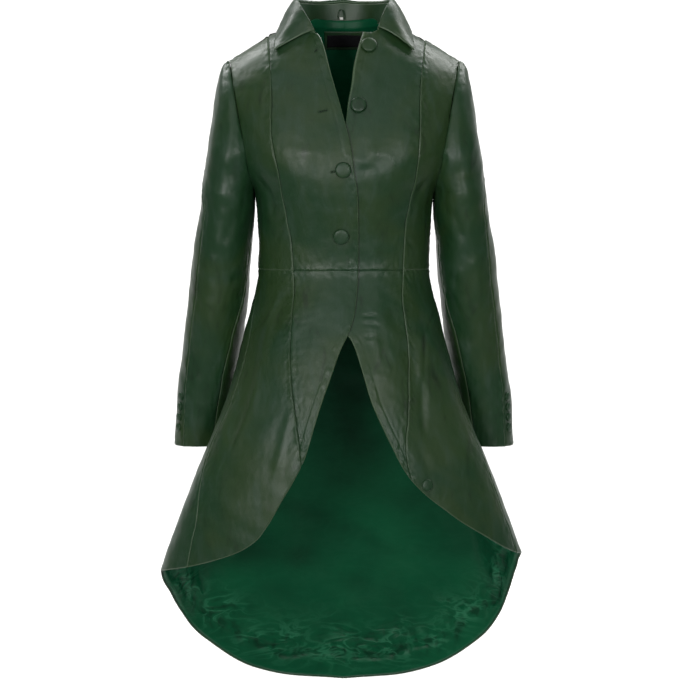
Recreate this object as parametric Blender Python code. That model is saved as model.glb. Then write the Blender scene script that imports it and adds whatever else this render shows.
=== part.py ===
"""A dark green leather tail coat, filled out as when it is worn, modelled cut piece by cut piece.

Metres, +Z up. The front faces -Y and the wearer's left is +X. The origin lies inside the neck, a little
above the sleeve heads, where a wearer's shoulders carry the coat. A body piece is a patch of the surface
body(theta, z), where theta runs round from centre front; a sleeve piece is a patch of sleeve(phi, z).
Every piece is a thin wall, and its edges stop half a seam gap short of the seam line."""

import bmesh
import bpy
import numpy as np

# Driving sizes
LEATHER = 0.0020
SATIN = 0.0010
SEAM_GAP = 0.0003
LAYER_GAP = 0.0004
LAP_GAP = 0.0009
SLEEVE_GAP = 0.0005
SHOULDER_HALF = 0.182
SHOULDER_Z = -0.036
SHOULDER_SLOPE = 0.575
SHOULDER_ROUND = 0.070
NECK_HALF = 0.072
NECK_BACK_Z = 0.020
NECK_HOLLOW = 0.009
UNDERARM_HALF = 0.142
UNDERARM_Z = -0.246
WAIST_Z = -0.366
CUFF_Z = -0.656
LINING_RISE = 0.002
SKIRT_POINT, SKIRT_POINT_TURN = 0.004, 0.012
BICEPS_DEPTH = 0.062
LAP_EDGE, LAP_END = 0.028, 0.052
LAP_TOP, LAP_BOTTOM, LAP_FADE = -0.070, -0.530, 0.045
BUTTON_RADIUS, BUTTON_HEIGHT = 0.0125, 0.0060
VENT_BUTTON_RADIUS, VENT_BUTTON_HEIGHT = 0.0070, 0.0035
HEM_BUTTON_RADIUS, HEM_BUTTON_HEIGHT = 0.0090, 0.0030
BUTTON_STAND, VENT_BUTTON_STAND = 0.0008, -0.0005

# Rows and columns of the pieces. Pieces that share a seam share its rows or columns.
ARM_ROWS, SIDE_ROWS, SKIRT_ROWS, SLEEVE_ROWS = 9, 5, 15, 10
FRONT_COLUMNS, SIDE_COLUMNS, BACK_COLUMNS = 7, 8, 12
SHOULDER_COLUMNS = 3
UPPER_COLUMNS, UNDER_COLUMNS = 8, 10
UNDER_FIRST_ROW = 4
UNDER_TOP_TURN = 0.06
BUTTON_SIDES, VENT_BUTTON_SIDES = 16, 10
BODICE_ROWS = ARM_ROWS + SIDE_ROWS

UP = np.array((0.0, 0.0, 1.0))
RIGHT, LEFT = -1, 1
SIDES = {"right": RIGHT, "left": LEFT}


def table(columns, *rows):
    """A short table as a dictionary of its named columns."""
    return dict(zip(columns.split(), np.array(rows, float).T))


# Level sections of the body: half width, depth in front and behind, where the widest point lies, and the
# power that squares the ellipse's sides (1 is a true ellipse).
SECTIONS = table(
    "z half front back mid square",
    (0.090, 0.1856, 0.050, 0.060, 0.000, 0.65),
    (0.010, 0.1856, 0.064, 0.070, 0.000, 0.65),
    (-0.035, 0.1856, 0.080, 0.080, 0.000, 0.64),
    (-0.096, 0.1856, 0.104, 0.092, 0.000, 0.62),
    (-0.131, 0.1820, 0.114, 0.096, 0.000, 0.63),
    (-0.165, 0.1760, 0.121, 0.096, 0.000, 0.65),
    (-0.192, 0.1700, 0.124, 0.095, 0.000, 0.70),
    (-0.216, 0.1600, 0.123, 0.093, 0.000, 0.76),
    (-0.246, 0.1420, 0.119, 0.090, 0.000, 0.84),
    (-0.272, 0.1390, 0.112, 0.086, 0.000, 0.88),
    (-0.320, 0.1360, 0.099, 0.078, 0.000, 0.94),
    (-0.366, 0.1355, 0.092, 0.075, 0.000, 1.00),
    (-0.400, 0.1410, 0.097, 0.081, -0.003, 1.00),
    (-0.432, 0.1500, 0.104, 0.092, -0.007, 1.00),
    (-0.496, 0.1660, 0.113, 0.118, -0.015, 1.00),
    (-0.576, 0.1890, 0.119, 0.150, -0.024, 1.00),
    (-0.656, 0.2220, 0.123, 0.176, -0.028, 1.00),
    (-0.736, 0.2540, 0.128, 0.196, -0.024, 1.00),
    (-0.848, 0.2950, 0.134, 0.214, -0.012, 1.00),
    (-1.090, 0.3735, 0.140, 0.240, 0.000, 1.00),
)

# Soft fullness and hollows: the angle of each, the heights where it starts, is full and ends, its width in
# degrees and its rise.
FOLDS = table(
    "degrees z_start z_full z_end width rise",
    (-31, -0.060, -0.190, -0.330, 24, 0.007),
    (31, -0.060, -0.190, -0.330, 24, 0.007),
    (40, -0.400, -0.520, -0.760, 7, -0.006),
    (-62, -0.380, -0.520, -0.700, 9, -0.003),
    (-112, -0.420, -0.700, -1.300, 13, -0.008),
    (112, -0.420, -0.700, -1.300, 13, -0.008),
    (-135, -0.450, -0.900, -1.500, 12, 0.008),
    (134, -0.450, -0.900, -1.500, 12, 0.007),
    (-157, -0.480, -0.950, -1.500, 11, -0.006),
    (158, -0.480, -0.950, -1.500, 11, -0.007),
)

# Seams and edges of the right and left fronts: height and distance from the middle.
PRINCESS = {
    "right": table(
        "z x",
        (0.002, -0.120), (-0.018, -0.118), (-0.071, -0.114), (-0.152, -0.110), (-0.215, -0.099),
        (-0.250, -0.0945), (-0.289, -0.0885), (-0.329, -0.0825), (-0.366, -0.0795),
    ),
    "left": table(
        "z x",
        (-0.003, 0.128), (-0.022, 0.126), (-0.071, 0.120), (-0.152, 0.114), (-0.215, 0.1095),
        (-0.257, 0.1013), (-0.289, 0.0967), (-0.329, 0.0938), (-0.366, 0.0924),
    ),
}
SKIRT_PRINCESS = {
    "right": table(
        "z x",
        (-0.366, -0.0795), (-0.398, -0.0785), (-0.440, -0.081), (-0.498, -0.084), (-0.552, -0.081),
        (-0.590, -0.076), (-0.641, -0.0688), (-0.665, -0.067),
    ),
    "left": table(
        "z x",
        (-0.366, 0.0924), (-0.404, 0.091), (-0.440, 0.095), (-0.478, 0.102), (-0.512, 0.104),
        (-0.560, 0.102), (-0.600, 0.099), (-0.635, 0.095), (-0.690, 0.103),
    ),
}
FRONT_EDGE = {
    "right": table(
        "z x",
        (0.004, -0.0420), (-0.005, -0.036), (-0.062, -0.020), (-0.1265, -0.0015), (-0.174, 0.010),
        (-0.208, 0.0147), (-0.256, 0.021), (-0.315, 0.0225), (-0.366, 0.0225),
    ),
    "left": table(
        "z x",
        (0.006, 0.030), (-0.025, 0.0204), (-0.053, 0.014), (-0.079, 0.0109), (-0.1035, 0.0062),
        (-0.1325, 0.0031), (-0.190, -0.012), (-0.256, -0.024), (-0.315, -0.027), (-0.366, -0.027),
    ),
}

# The cut-away edge and hem of each side, from the waist seam round to centre back.
HEM = {
    "right": table(
        "degrees z",
        (-9.6, -0.366), (-9.0, -0.387), (-7.8, -0.410), (-6.0, -0.436), (-2.4, -0.464), (2.0, -0.489),
        (7.0, -0.533), (10.0, -0.562), (13.0, -0.601), (16.0, -0.656), (19.0, -0.686), (23.0, -0.722),
        (26.5, -0.757), (30.0, -0.783), (36.0, -0.803), (46.0, -0.820), (60.0, -0.835), (76.0, -0.845),
        (90.0, -0.852), (106.0, -0.887), (122.0, -0.936), (138.0, -0.998), (154.0, -1.053), (167.0, -1.073),
        (180.0, -1.080),
    ),
    "left": table(
        "degrees z",
        (-11.5, -0.366), (-11.0, -0.400), (-8.0, -0.430), (-2.0, -0.455), (4.0, -0.474), (7.0, -0.495),
        (10.0, -0.529), (13.0, -0.567), (16.0, -0.596), (19.0, -0.625), (23.0, -0.665), (26.0, -0.687),
        (31.0, -0.711), (38.0, -0.736), (46.0, -0.761), (56.0, -0.785), (66.0, -0.804), (78.0, -0.817),
        (90.0, -0.822), (98.0, -0.834), (106.0, -0.859), (122.0, -0.919), (138.0, -0.994), (154.0, -1.050),
        (167.0, -1.072), (180.0, -1.080),
    ),
}

# The skirt's side seams: height and angle from centre front.
SIDE_SEAM = {
    "right": table(
        "z degrees",
        (-0.366, 90), (-0.400, 80), (-0.440, 72), (-0.500, 70), (-0.576, 72), (-0.640, 76),
        (-0.700, 70), (-0.760, 62), (-0.850, 58),
    ),
    "left": table(
        "z degrees",
        (-0.366, 90), (-0.400, 84), (-0.440, 80), (-0.500, 78), (-0.576, 78), (-0.640, 78),
        (-0.700, 77), (-0.760, 76), (-0.850, 76),
    ),
}

# Level sections of a sleeve: how far out its outer and inner sides lie, its half depth and its middle.
SLEEVE = table(
    "z outer inner depth middle",
    (-0.036, 0.1835, 0.182, 0.0, 0.000),
    (-0.041, 0.1905, 0.181, 0.0, 0.000),
    (-0.050, 0.1955, 0.179, 0.0, 0.000),
    (-0.080, 0.2015, 0.173, 0.0, 0.000),
    (-0.128, 0.2100, 0.164, 0.0, 0.000),
    (-0.192, 0.2190, 0.152, 0.0, 0.000),
    (-0.246, 0.2275, 0.142, 0.062, -0.002),
    (-0.272, 0.2300, 0.1425, 0.063, 0.002),
    (-0.320, 0.2380, 0.147, 0.062, 0.011),
    (-0.368, 0.2450, 0.150, 0.060, 0.020),
    (-0.416, 0.2510, 0.155, 0.058, 0.030),
    (-0.496, 0.2610, 0.166, 0.053, 0.048),
    (-0.576, 0.2720, 0.181, 0.047, 0.062),
    (-0.656, 0.2785, 0.1950, 0.042, 0.074),
)
ELBOW_SEAM = table(
    "z degrees",
    (-0.122, -100), (-0.160, -60), (-0.200, -12), (-0.240, 24), (-0.277, 40), (-0.416, 44),
    (-0.480, 42), (-0.522, 45), (-0.595, 50), (-0.656, 54),
)
FRONT_SEAM = table(
    "z degrees",
    (-0.246, 180), (-0.300, 168), (-0.360, 158), (-0.422, 147), (-0.477, 130), (-0.547, 123), (-0.656, 124),
)

# How strongly the rows of each seam crowd towards its upper end.
PRINCESS_CROWD, OPENING_CROWD, BACK_CROWD = 1.35, 1.10, 1.20

# The collar from its front end (0) to centre back (1): the stand's lean and rise, how high the
# fold rolls over it, and the fall's outer edge.
COLLAR = table(
    "along lean rise roll edge_x edge_y edge_z",
    (0.00, 0.000, 0.003, 0.0046, 0.1095, -0.060, -0.016),
    (0.18, 0.002, 0.019, 0.0050, 0.1095, -0.038, -0.003),
    (0.42, 0.003, 0.030, 0.0050, 0.1080, -0.002, 0.010),
    (0.70, 0.000, 0.036, 0.0050, 0.0840, 0.050, 0.009),
    (1.00, -0.006, 0.041, 0.0050, 0.0000, 0.081, 0.014),
)
COLLAR_START = {"right": 0.14, "left": 0.56}
COLLAR_SAMPLES = 10
FALL_ROWS = 6
LOOP_SAMPLES, LOOP_GAP = 13, 0.0016
ROLL_GAP = 0.0012
FOLD_OUT = 0.0018
NECK_TURN = 0.42
NECK_CENTRE_Y = 0.004
FALL_BEND = (0.36, 0.36, 0.14)

# Covered buttons: the side that they sit on, distance from the middle and height.
FRONT_BUTTONS = table(
    "on x z",
    (LEFT, 0.0385, -0.017),
    (LEFT, 0.0221, -0.111),
    (RIGHT, -0.0015, -0.211),
    (RIGHT, -0.0048, -0.313),
)
HEM_BUTTON = {"x": 0.129, "z": -0.697}
VENT_BUTTON_Z = (-0.574, -0.591, -0.608, -0.625)
VENT_BUTTON_DEGREES = 33.0

# The label patch, the label and the hanging loop at the back of the neck.
PATCH = {"half": 0.0325, "top": 0.0165, "bottom": -0.0135}
LABEL = {"half": 0.0280, "top": 0.0105, "bottom": -0.0100}
PATCH_THICK, LABEL_THICK = 0.0010, 0.0006
LOOP_X, LOOP_HALF, LOOP_TOP, LOOP_DROP, LOOP_STRAP, LOOP_STAND = -0.004, 0.0055, 0.050, 0.016, 0.0012, 0.0035


def smooth(at, knots, values):
    """Monotone cubic through the knots: rounded between them, and never past a neighbour's value."""
    order = np.argsort(knots)
    x, y = np.asarray(knots, float)[order], np.asarray(values, float)[order]
    step = np.diff(x)
    rise = np.diff(y) / step
    before, after = rise[:-1], rise[1:]
    rising = before * after > 0
    total = np.where(rising, before + after, 1.0)
    slope = np.concatenate([rise[:1], np.where(rising, 2 * before * after / total, 0.0), rise[-1:]])
    at = np.clip(np.asarray(at, float), x[0], x[-1])
    i = np.clip(np.searchsorted(x, at, side="right") - 1, 0, len(step) - 1)
    t = (at - x[i]) / step[i]
    return (
        (1 + 2 * t) * (1 - t) ** 2 * y[i]
        + t * (1 - t) ** 2 * step[i] * slope[i]
        + t**2 * (3 - 2 * t) * y[i + 1]
        + t**2 * (t - 1) * step[i] * slope[i + 1]
    )


def ease(t):
    """0 to 1 with level ends."""
    t = np.clip(t, 0, 1)
    return t * t * (3 - 2 * t)


def section(z, name):
    """A column of the body's sections at the height z."""
    return smooth(z, SECTIONS["z"], SECTIONS[name])


def shoulder_line(x):
    """Height of the shoulder seam at the distance x from the middle."""
    return SHOULDER_Z + SHOULDER_SLOPE * (SHOULDER_HALF - np.abs(x))


def fold_rise(theta, z):
    """How far the folds push the surface out: a bell across each fold, eased in and out along it."""
    total = np.zeros(np.broadcast(theta, z).shape)
    for angle, start, full, end, width, rise in zip(*FOLDS.values()):
        turn = np.degrees(np.arctan2(np.sin(theta - np.radians(angle)), np.cos(theta - np.radians(angle))))
        along = ease((start - z) / (start - full)) * ease((z - end) / (full - end))
        total = total + rise * along * np.exp(-((turn / width) ** 2))
    return total


def body(theta, z, out=0.0):
    """The coat's surface: half a squared ellipse in front and half behind at each height, rounded over at the
    shoulder seam. out moves the surface outwards."""
    grow = out + fold_rise(theta, z)
    depth = np.where(np.cos(theta) > 0, section(z, "front"), section(z, "back")) + grow
    x = (section(z, "half") + grow) * np.sin(theta)
    towards_front = np.sign(np.cos(theta)) * np.abs(np.cos(theta)) ** section(z, "square")
    over = np.clip(1 - (shoulder_line(section(z, "half") * np.sin(theta)) - z) / SHOULDER_ROUND, 0, 1)
    y = section(z, "mid") - depth * np.sqrt(1 - over**2) * towards_front
    return np.stack(np.broadcast_arrays(x, y, z + out * over), -1)


def left_lap(theta, z):
    """How far the left front lies in under the right front where they overlap."""
    x = section(z, "half") * np.sin(theta)
    across = ease((LAP_END - x) / (LAP_END - LAP_EDGE))
    along = ease((LAP_TOP - z) / LAP_FADE) * ease((z - LAP_BOTTOM) / LAP_FADE)
    return -(LEATHER + LAP_GAP) * across * along


def no_lap(theta, z):
    return np.zeros(np.broadcast(theta, z).shape)


LAPS = {"right": no_lap, "left": left_lap}


def angle_at(x, z):
    """The angle round the front at which the surface passes x."""
    return np.arcsin(np.clip(x / section(z, "half"), -1, 1))


def armhole_heights():
    """Heights of the armhole's samples, closer together near the shoulder and the underarm."""
    k = np.arange(ARM_ROWS + 1) / ARM_ROWS
    return SHOULDER_Z - 0.0006 + (UNDERARM_Z - SHOULDER_Z + 0.0006) * (1 - np.cos(np.pi * k)) / 2


def armhole_distance(z):
    """The armhole lies in a plane that leans out from the underarm to the shoulder tip."""
    t = (SHOULDER_Z - z) / (SHOULDER_Z - UNDERARM_Z)
    return SHOULDER_HALF + t * (UNDERARM_HALF - SHOULDER_HALF)


def coons(left, right, top, bottom):
    """A patch between four edges, each a list of (theta, z): the two ruled patches less the corners' one."""
    u = np.linspace(0, 1, len(top))[None, :, None]
    v = np.linspace(0, 1, len(left))[:, None, None]
    sides = (1 - u) * left[:, None] + u * right[:, None]
    ends = (1 - v) * top[None] + v * bottom[None]
    corners = (1 - v) * ((1 - u) * top[0] + u * top[-1]) + v * ((1 - u) * bottom[0] + u * bottom[-1])
    return sides + ends - corners


def edge(theta, z):
    return np.stack(np.broadcast_arrays(theta, z), -1).astype(float)


def arm_and_side(sign, behind):
    """The armhole from the shoulder tip to the underarm, then the bodice's side seam down to the waist."""
    arm = armhole_heights()
    down = np.linspace(UNDERARM_Z, WAIST_Z, SIDE_ROWS + 1)[1:]
    theta = np.concatenate([angle_at(armhole_distance(arm), arm), np.full(SIDE_ROWS, np.pi / 2)])
    theta[ARM_ROWS] = np.pi / 2
    return edge(sign * (np.pi - theta if behind else theta), np.concatenate([arm, down]))


def princess(side):
    t = np.linspace(0, 1, BODICE_ROWS + 1) ** PRINCESS_CROWD
    seam = PRINCESS[side]
    z = seam["z"][0] + (WAIST_Z - seam["z"][0]) * t
    x = smooth(z, seam["z"], seam["x"])
    z[0] = shoulder_line(x[0])
    return edge(angle_at(x, z), z)


def front_opening(side):
    t = np.linspace(0, 1, BODICE_ROWS + 1) ** OPENING_CROWD
    seam = FRONT_EDGE[side]
    z = seam["z"][0] + (WAIST_Z - seam["z"][0]) * t
    return edge(angle_at(smooth(z, seam["z"], seam["x"]), z), z)


def neck_line(side, t):
    """The front neckline from the front edge (0) to the neck point at the shoulder (1), slightly hollow."""
    start = FRONT_EDGE[side]
    sign = SIDES[side]
    x = start["x"][0] + (sign * NECK_HALF - start["x"][0]) * t
    z = start["z"][0] + (shoulder_line(NECK_HALF) - start["z"][0]) * t - NECK_HOLLOW * np.sin(np.pi * t)
    return edge(angle_at(x, z), z)


def back_neck_line(sign, t):
    """The back neckline from the neck point (0) to centre back (1)."""
    x = sign * NECK_HALF * (1 - t)
    z = NECK_BACK_Z + (shoulder_line(NECK_HALF) - NECK_BACK_Z) * (1 - t) ** 2
    return edge(sign * np.pi - angle_at(x, z), z)


def shoulder_edge(x):
    z = shoulder_line(x)
    return edge(angle_at(x, z), z)


def front_patch(side):
    seam, opening = princess(side), front_opening(side)
    start = np.sin(seam[0, 0]) * section(seam[0, 1], "half")
    along = np.linspace(start, SIDES[side] * NECK_HALF, SHOULDER_COLUMNS + 1)
    neck = neck_line(side, np.linspace(1, 0, FRONT_COLUMNS - SHOULDER_COLUMNS + 1))
    top = np.concatenate([shoulder_edge(along), neck[1:]])
    bottom = edge(np.linspace(seam[-1, 0], opening[-1, 0], FRONT_COLUMNS + 1), WAIST_Z)
    return coons(seam, opening, top, bottom)


def side_front_patch(side):
    outer, seam = arm_and_side(SIDES[side], False), princess(side)
    start = np.sin(seam[0, 0]) * section(seam[0, 1], "half")
    top = shoulder_edge(np.linspace(SIDES[side] * SHOULDER_HALF, start, SIDE_COLUMNS + 1))
    top[0], top[-1] = outer[0], seam[0]
    bottom = edge(np.linspace(outer[-1, 0], seam[-1, 0], SIDE_COLUMNS + 1), WAIST_Z)
    return coons(outer, seam, top, bottom)


def back_patch(side):
    sign = SIDES[side]
    outer = arm_and_side(sign, True)
    z = NECK_BACK_Z + (WAIST_Z - NECK_BACK_Z) * np.linspace(0, 1, BODICE_ROWS + 1) ** BACK_CROWD
    middle = edge(sign * np.pi, z)
    half = BACK_COLUMNS // 2
    shoulder = shoulder_edge(np.linspace(sign * SHOULDER_HALF, sign * NECK_HALF, half + 1))
    shoulder[:, 0] = sign * np.pi - shoulder[:, 0]
    shoulder[0] = outer[0]
    top = np.concatenate([shoulder, back_neck_line(sign, np.linspace(0, 1, half + 1))[1:]])
    bottom = edge(np.linspace(outer[-1, 0], sign * np.pi, BACK_COLUMNS + 1), WAIST_Z)
    return coons(outer, middle, top, bottom)


def hem_height(side, theta):
    hem = HEM[side]
    return smooth(np.degrees(np.abs(theta)), hem["degrees"], hem["z"])


def skirt_princess(side, rows):
    seam = SKIRT_PRINCESS[side]
    z = np.linspace(WAIST_Z, seam["z"][-1], rows + 1)
    return edge(angle_at(smooth(z, seam["z"], seam["x"]), z), z)


def skirt_front_patch(side):
    """From the skirt's princess seam to the cut-away edge, tapering to the point where the two meet."""
    sign, hem = SIDES[side], HEM[side]
    seam = skirt_princess(side, SKIRT_ROWS)
    z = np.linspace(WAIST_Z, seam[-1, 1] + SKIRT_POINT, SKIRT_ROWS + 1)
    cut = edge(sign * np.radians(smooth(z, hem["z"], hem["degrees"])), z)
    seam[-1, 0] = cut[-1, 0] + sign * SKIRT_POINT_TURN
    top = edge(np.linspace(seam[0, 0], cut[0, 0], FRONT_COLUMNS + 1), WAIST_Z)
    bottom = np.linspace(seam[-1], cut[-1], FRONT_COLUMNS + 1)
    return coons(seam, cut, top, bottom)


def side_seam(side, rows):
    sign, seam = SIDES[side], SIDE_SEAM[side]
    end = hem_height(side, np.radians(seam["degrees"][-1]))
    z = np.linspace(WAIST_Z, end, rows + 1)
    return edge(sign * np.radians(smooth(z, seam["z"], seam["degrees"])), z)


def skirt_side_patch(side):
    outer, inner = side_seam(side, SKIRT_ROWS), skirt_princess(side, SKIRT_ROWS)
    cut = skirt_front_patch(side)[-1, 0]
    inner[-1] = cut
    top = edge(np.linspace(outer[0, 0], inner[0, 0], SIDE_COLUMNS + 1), WAIST_Z)
    theta = np.linspace(outer[-1, 0], inner[-1, 0], SIDE_COLUMNS + 1)
    bottom = edge(theta, hem_height(side, theta))
    bottom[-1] = inner[-1]
    return coons(outer, inner, top, bottom)


def tail_patch(side, hem_rise=0.0):
    sign = SIDES[side]
    outer = side_seam(side, SKIRT_ROWS)
    middle = edge(sign * np.pi, np.linspace(WAIST_Z, hem_height(side, np.pi), SKIRT_ROWS + 1))
    top = edge(np.linspace(outer[0, 0], sign * np.pi, BACK_COLUMNS + 1), WAIST_Z)
    theta = np.linspace(outer[-1, 0], sign * np.pi, BACK_COLUMNS + 1)
    patch = coons(outer, middle, top, edge(theta, hem_height(side, theta)))
    patch[..., 1] += hem_rise * np.linspace(0, 1, SKIRT_ROWS + 1)[:, None] ** 4
    return patch


def whole_back(patch_of):
    """The left and right patches joined at centre back into one."""
    left, right = patch_of("left"), patch_of("right")
    right[..., 0] += 2 * np.pi
    return np.concatenate([left, right[:, -2::-1]], axis=1)


def sleeve(sign, phi, z):
    """The sleeve's surface. phi is 0 on the outer side, 90 degrees in front and 180 on the inner side.
    Above the underarm the section is the arc that springs from the armhole's two edges."""
    outer = smooth(z, SLEEVE["z"], SLEEVE["outer"])
    arm = armhole_distance(np.maximum(z, UNDERARM_Z))
    angle = angle_at(arm, z)
    front, back = body(angle, z)[..., 1], body(np.pi - angle, z)[..., 1]
    spread = np.where(z > UNDERARM_Z, (back - front) / 2, 0)
    t = np.clip((SHOULDER_Z - z) / (SHOULDER_Z - UNDERARM_Z), 0, 1)
    cap_depth = np.hypot(spread, BICEPS_DEPTH * t**1.5)
    depth = np.where(z > UNDERARM_Z, cap_depth, smooth(z, SLEEVE["z"], SLEEVE["depth"]))
    cap_middle = (back + front) / 2 * (1 - t**4)
    middle = np.where(z > UNDERARM_Z, cap_middle, smooth(z, SLEEVE["z"], SLEEVE["middle"]))
    inner = np.where(z > UNDERARM_Z, arm, smooth(z, SLEEVE["z"], SLEEVE["inner"]))
    half = (outer - inner) / (1 - np.cos(sleeve_limit(z)))
    x = outer - half * (1 - np.cos(phi))
    return np.stack(np.broadcast_arrays(sign * x, middle - depth * np.sin(phi), z), -1)


def sleeve_limit(z):
    """The angle at which the sleeve's section meets the armhole: 90 degrees at the top, 180 below the underarm."""
    arm = armhole_distance(np.maximum(z, UNDERARM_Z))
    angle = angle_at(arm, z)
    spread = (body(np.pi - angle, z)[..., 1] - body(angle, z)[..., 1]) / 2
    t = np.clip((SHOULDER_Z - z) / (SHOULDER_Z - UNDERARM_Z), 0, 1)
    depth = np.hypot(spread, BICEPS_DEPTH * t**1.5)
    return np.where(z > UNDERARM_Z + 1e-6, np.pi - np.arcsin(np.clip(spread / depth, 0, 1)), np.pi)


def sleeve_normal(sign, phi, z):
    """The sleeve's outward normal, by small steps round and along it."""
    step = 1e-4
    z = np.minimum(z, SLEEVE["z"][0] - 2 * step)
    round_it = sleeve(sign, phi + step, z) - sleeve(sign, phi - step, z)
    along = sleeve(sign, phi, z + step) - sleeve(sign, phi, z - step)
    normal = sign * np.cross(along, round_it)
    return normal / np.linalg.norm(normal, axis=-1, keepdims=True)


def sleeve_patches():
    """The upper and the under sleeve as grids of (phi, z)."""
    z = np.concatenate([armhole_heights(), np.linspace(UNDERARM_Z, CUFF_Z, SLEEVE_ROWS + 1)[1:]])
    limit = sleeve_limit(z)
    elbow = np.radians(smooth(z, ELBOW_SEAM["z"], ELBOW_SEAM["degrees"]))
    first = UNDER_FIRST_ROW
    elbow[: first + 1] = -limit[: first + 1]
    elbow[first] += UNDER_TOP_TURN
    front = np.where(z > UNDERARM_Z, limit, np.radians(smooth(z, FRONT_SEAM["z"], FRONT_SEAM["degrees"])))
    wrapped = np.where(z > UNDERARM_Z, -limit, front - 2 * np.pi)
    upper = coons_rows(elbow, front, z, UPPER_COLUMNS)
    under = coons_rows(wrapped[first:], elbow[first:], z[first:], UNDER_COLUMNS)
    return upper, under


def coons_rows(start, end, z, columns):
    u = np.linspace(0, 1, columns + 1)
    return edge((1 - u) * start[:, None] + u * end[:, None], z[:, None])


def inset(points, gap, sides):
    """Draws the named edges of a grid of points in by half the gap, along the grid."""
    points = points.copy()
    moves = {"top": (0, 1), "bottom": (-1, -2)}
    for name, (at, towards) in moves.items():
        if name in sides:
            way = points[towards] - points[at]
            points[at] += gap / 2 * way / np.linalg.norm(way, axis=-1, keepdims=True)
    for name, at, towards in (("left", 0, 1), ("right", -1, -2)):
        if name in sides:
            way = points[:, towards] - points[:, at]
            points[:, at] += gap / 2 * way / np.linalg.norm(way, axis=-1, keepdims=True)
    return points


def grid_normals(points):
    """Unit normals of a grid from its own rows and columns."""
    normal = np.cross(np.gradient(points, axis=1), np.gradient(points, axis=0))
    return normal / np.linalg.norm(normal, axis=-1, keepdims=True)


def material(name, colour, roughness):
    made = bpy.data.materials.new(name)
    made.use_nodes = True
    shader = made.node_tree.nodes["Principled BSDF"]
    shader.inputs["Base Color"].default_value = (*colour, 1)
    shader.inputs["Roughness"].default_value = roughness
    made.diffuse_color = (*colour, 1)
    return made


def add_object(name, points, faces, finish):
    """A closed mesh with its faces turned outwards."""
    mesh = bpy.data.meshes.new(name)
    mesh.from_pydata([tuple(p) for p in points], [], faces)
    shell = bmesh.new()
    shell.from_mesh(mesh)
    bmesh.ops.recalc_face_normals(shell, faces=shell.faces)
    shell.to_mesh(mesh)
    shell.free()
    mesh.shade_smooth()
    mesh.materials.append(finish)
    made = bpy.data.objects.new(name, mesh)
    bpy.context.scene.collection.objects.link(made)
    return made


def split_squares(points, squares):
    """Two triangles for each square, parted along its shorter diagonal."""
    a, b, c, d = squares.T
    short = np.linalg.norm(points[a] - points[c], axis=1) <= np.linalg.norm(points[b] - points[d], axis=1)
    first = np.where(short[:, None], np.stack([a, b, c], -1), np.stack([a, b, d], -1))
    second = np.where(short[:, None], np.stack([a, c, d], -1), np.stack([b, c, d], -1))
    return np.concatenate([first, second])


def add_wall(name, outer, inner, finish):
    """A closed wall between two grids of the same size. Its two faces are split the same way, and so are the
    rims of two walls that meet at a seam, so that layers and neighbours stay parted."""
    rows, columns = outer.shape[:2]
    index = np.arange(rows * columns).reshape(rows, columns)
    points = np.concatenate([outer.reshape(-1, 3), inner.reshape(-1, 3)])
    corners = np.stack([index[:-1, :-1], index[:-1, 1:], index[1:, 1:], index[1:, :-1]], -1)
    near = split_squares(points, corners.reshape(-1, 4))
    far = near[:, ::-1] + rows * columns
    rim = np.concatenate([index[0], index[1:, -1], index[-1, -2::-1], index[-2:0:-1, 0]])
    after = np.roll(rim, -1)
    sides = split_squares(points, np.stack([after, rim, rim + rows * columns, after + rows * columns], -1))
    return add_object(name, points, np.concatenate([near, far, sides]).tolist(), finish)


def add_body_piece(name, patch, finish, thick, seams, out=0.0):
    """A wall of the body's surface over a patch of (theta, z), out metres outside the leather's face."""
    theta, z = patch[..., 0], patch[..., 1]
    outer = inset(body(theta, z, out), SEAM_GAP, seams)
    inner = inset(body(theta, z, out - thick), SEAM_GAP, seams)
    return add_wall(name, outer, inner, finish)


def add_disc(name, centre, normal, radius, height, finish, sides=BUTTON_SIDES):
    """A covered button: a low dome with a rounded rim, standing on its flat back."""
    profile = ((0.90, 0.0), (1.0, 0.3), (0.93, 0.65), (0.60, 0.95))
    normal = normal / np.linalg.norm(normal)
    across = np.cross(normal, UP)
    across /= np.linalg.norm(across)
    up = np.cross(across, normal)
    turn = np.arange(sides) * 2 * np.pi / sides
    ring = np.cos(turn)[:, None] * across + np.sin(turn)[:, None] * up
    points = [centre + radius * r * ring + height * h * normal for r, h in profile]
    points = np.concatenate(points + [centre[None], (centre + height * normal)[None]])
    faces = []
    for k in range(len(profile) - 1):
        for i in range(sides):
            j = (i + 1) % sides
            faces.append((k * sides + i, k * sides + j, (k + 1) * sides + j, (k + 1) * sides + i))
    back, crown, last = len(points) - 2, len(points) - 1, (len(profile) - 1) * sides
    for i in range(sides):
        j = (i + 1) % sides
        faces += [(j, i, back), (last + i, last + j, crown)]
    return add_object(name, points, faces, finish)


def surface_normal(at, theta, z):
    """The outward normal of at(theta, z) by small steps."""
    step = 1e-4
    across = at(theta + step, z) - at(theta - step, z)
    down = at(theta, z - step) - at(theta, z + step)
    normal = np.cross(down, across)
    return normal / np.linalg.norm(normal)


def left_front(theta, z):
    return body(theta, z, left_lap(theta, z))


def front_buttons(finish):
    for number, (sign, x, z) in enumerate(zip(*FRONT_BUTTONS.values()), start=1):
        theta = float(angle_at(x, z))
        surface = left_front if sign == LEFT else body
        normal = surface_normal(surface, theta, z)
        centre = surface(theta, z) + BUTTON_STAND * normal
        add_disc(f"button_{number}", centre, normal, BUTTON_RADIUS, BUTTON_HEIGHT, finish)
    theta = float(angle_at(HEM_BUTTON["x"], HEM_BUTTON["z"]))
    normal = surface_normal(body, theta, HEM_BUTTON["z"])
    centre = body(theta, HEM_BUTTON["z"]) + BUTTON_STAND * normal
    add_disc("hem_button", centre, normal, HEM_BUTTON_RADIUS, HEM_BUTTON_HEIGHT, finish)


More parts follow.
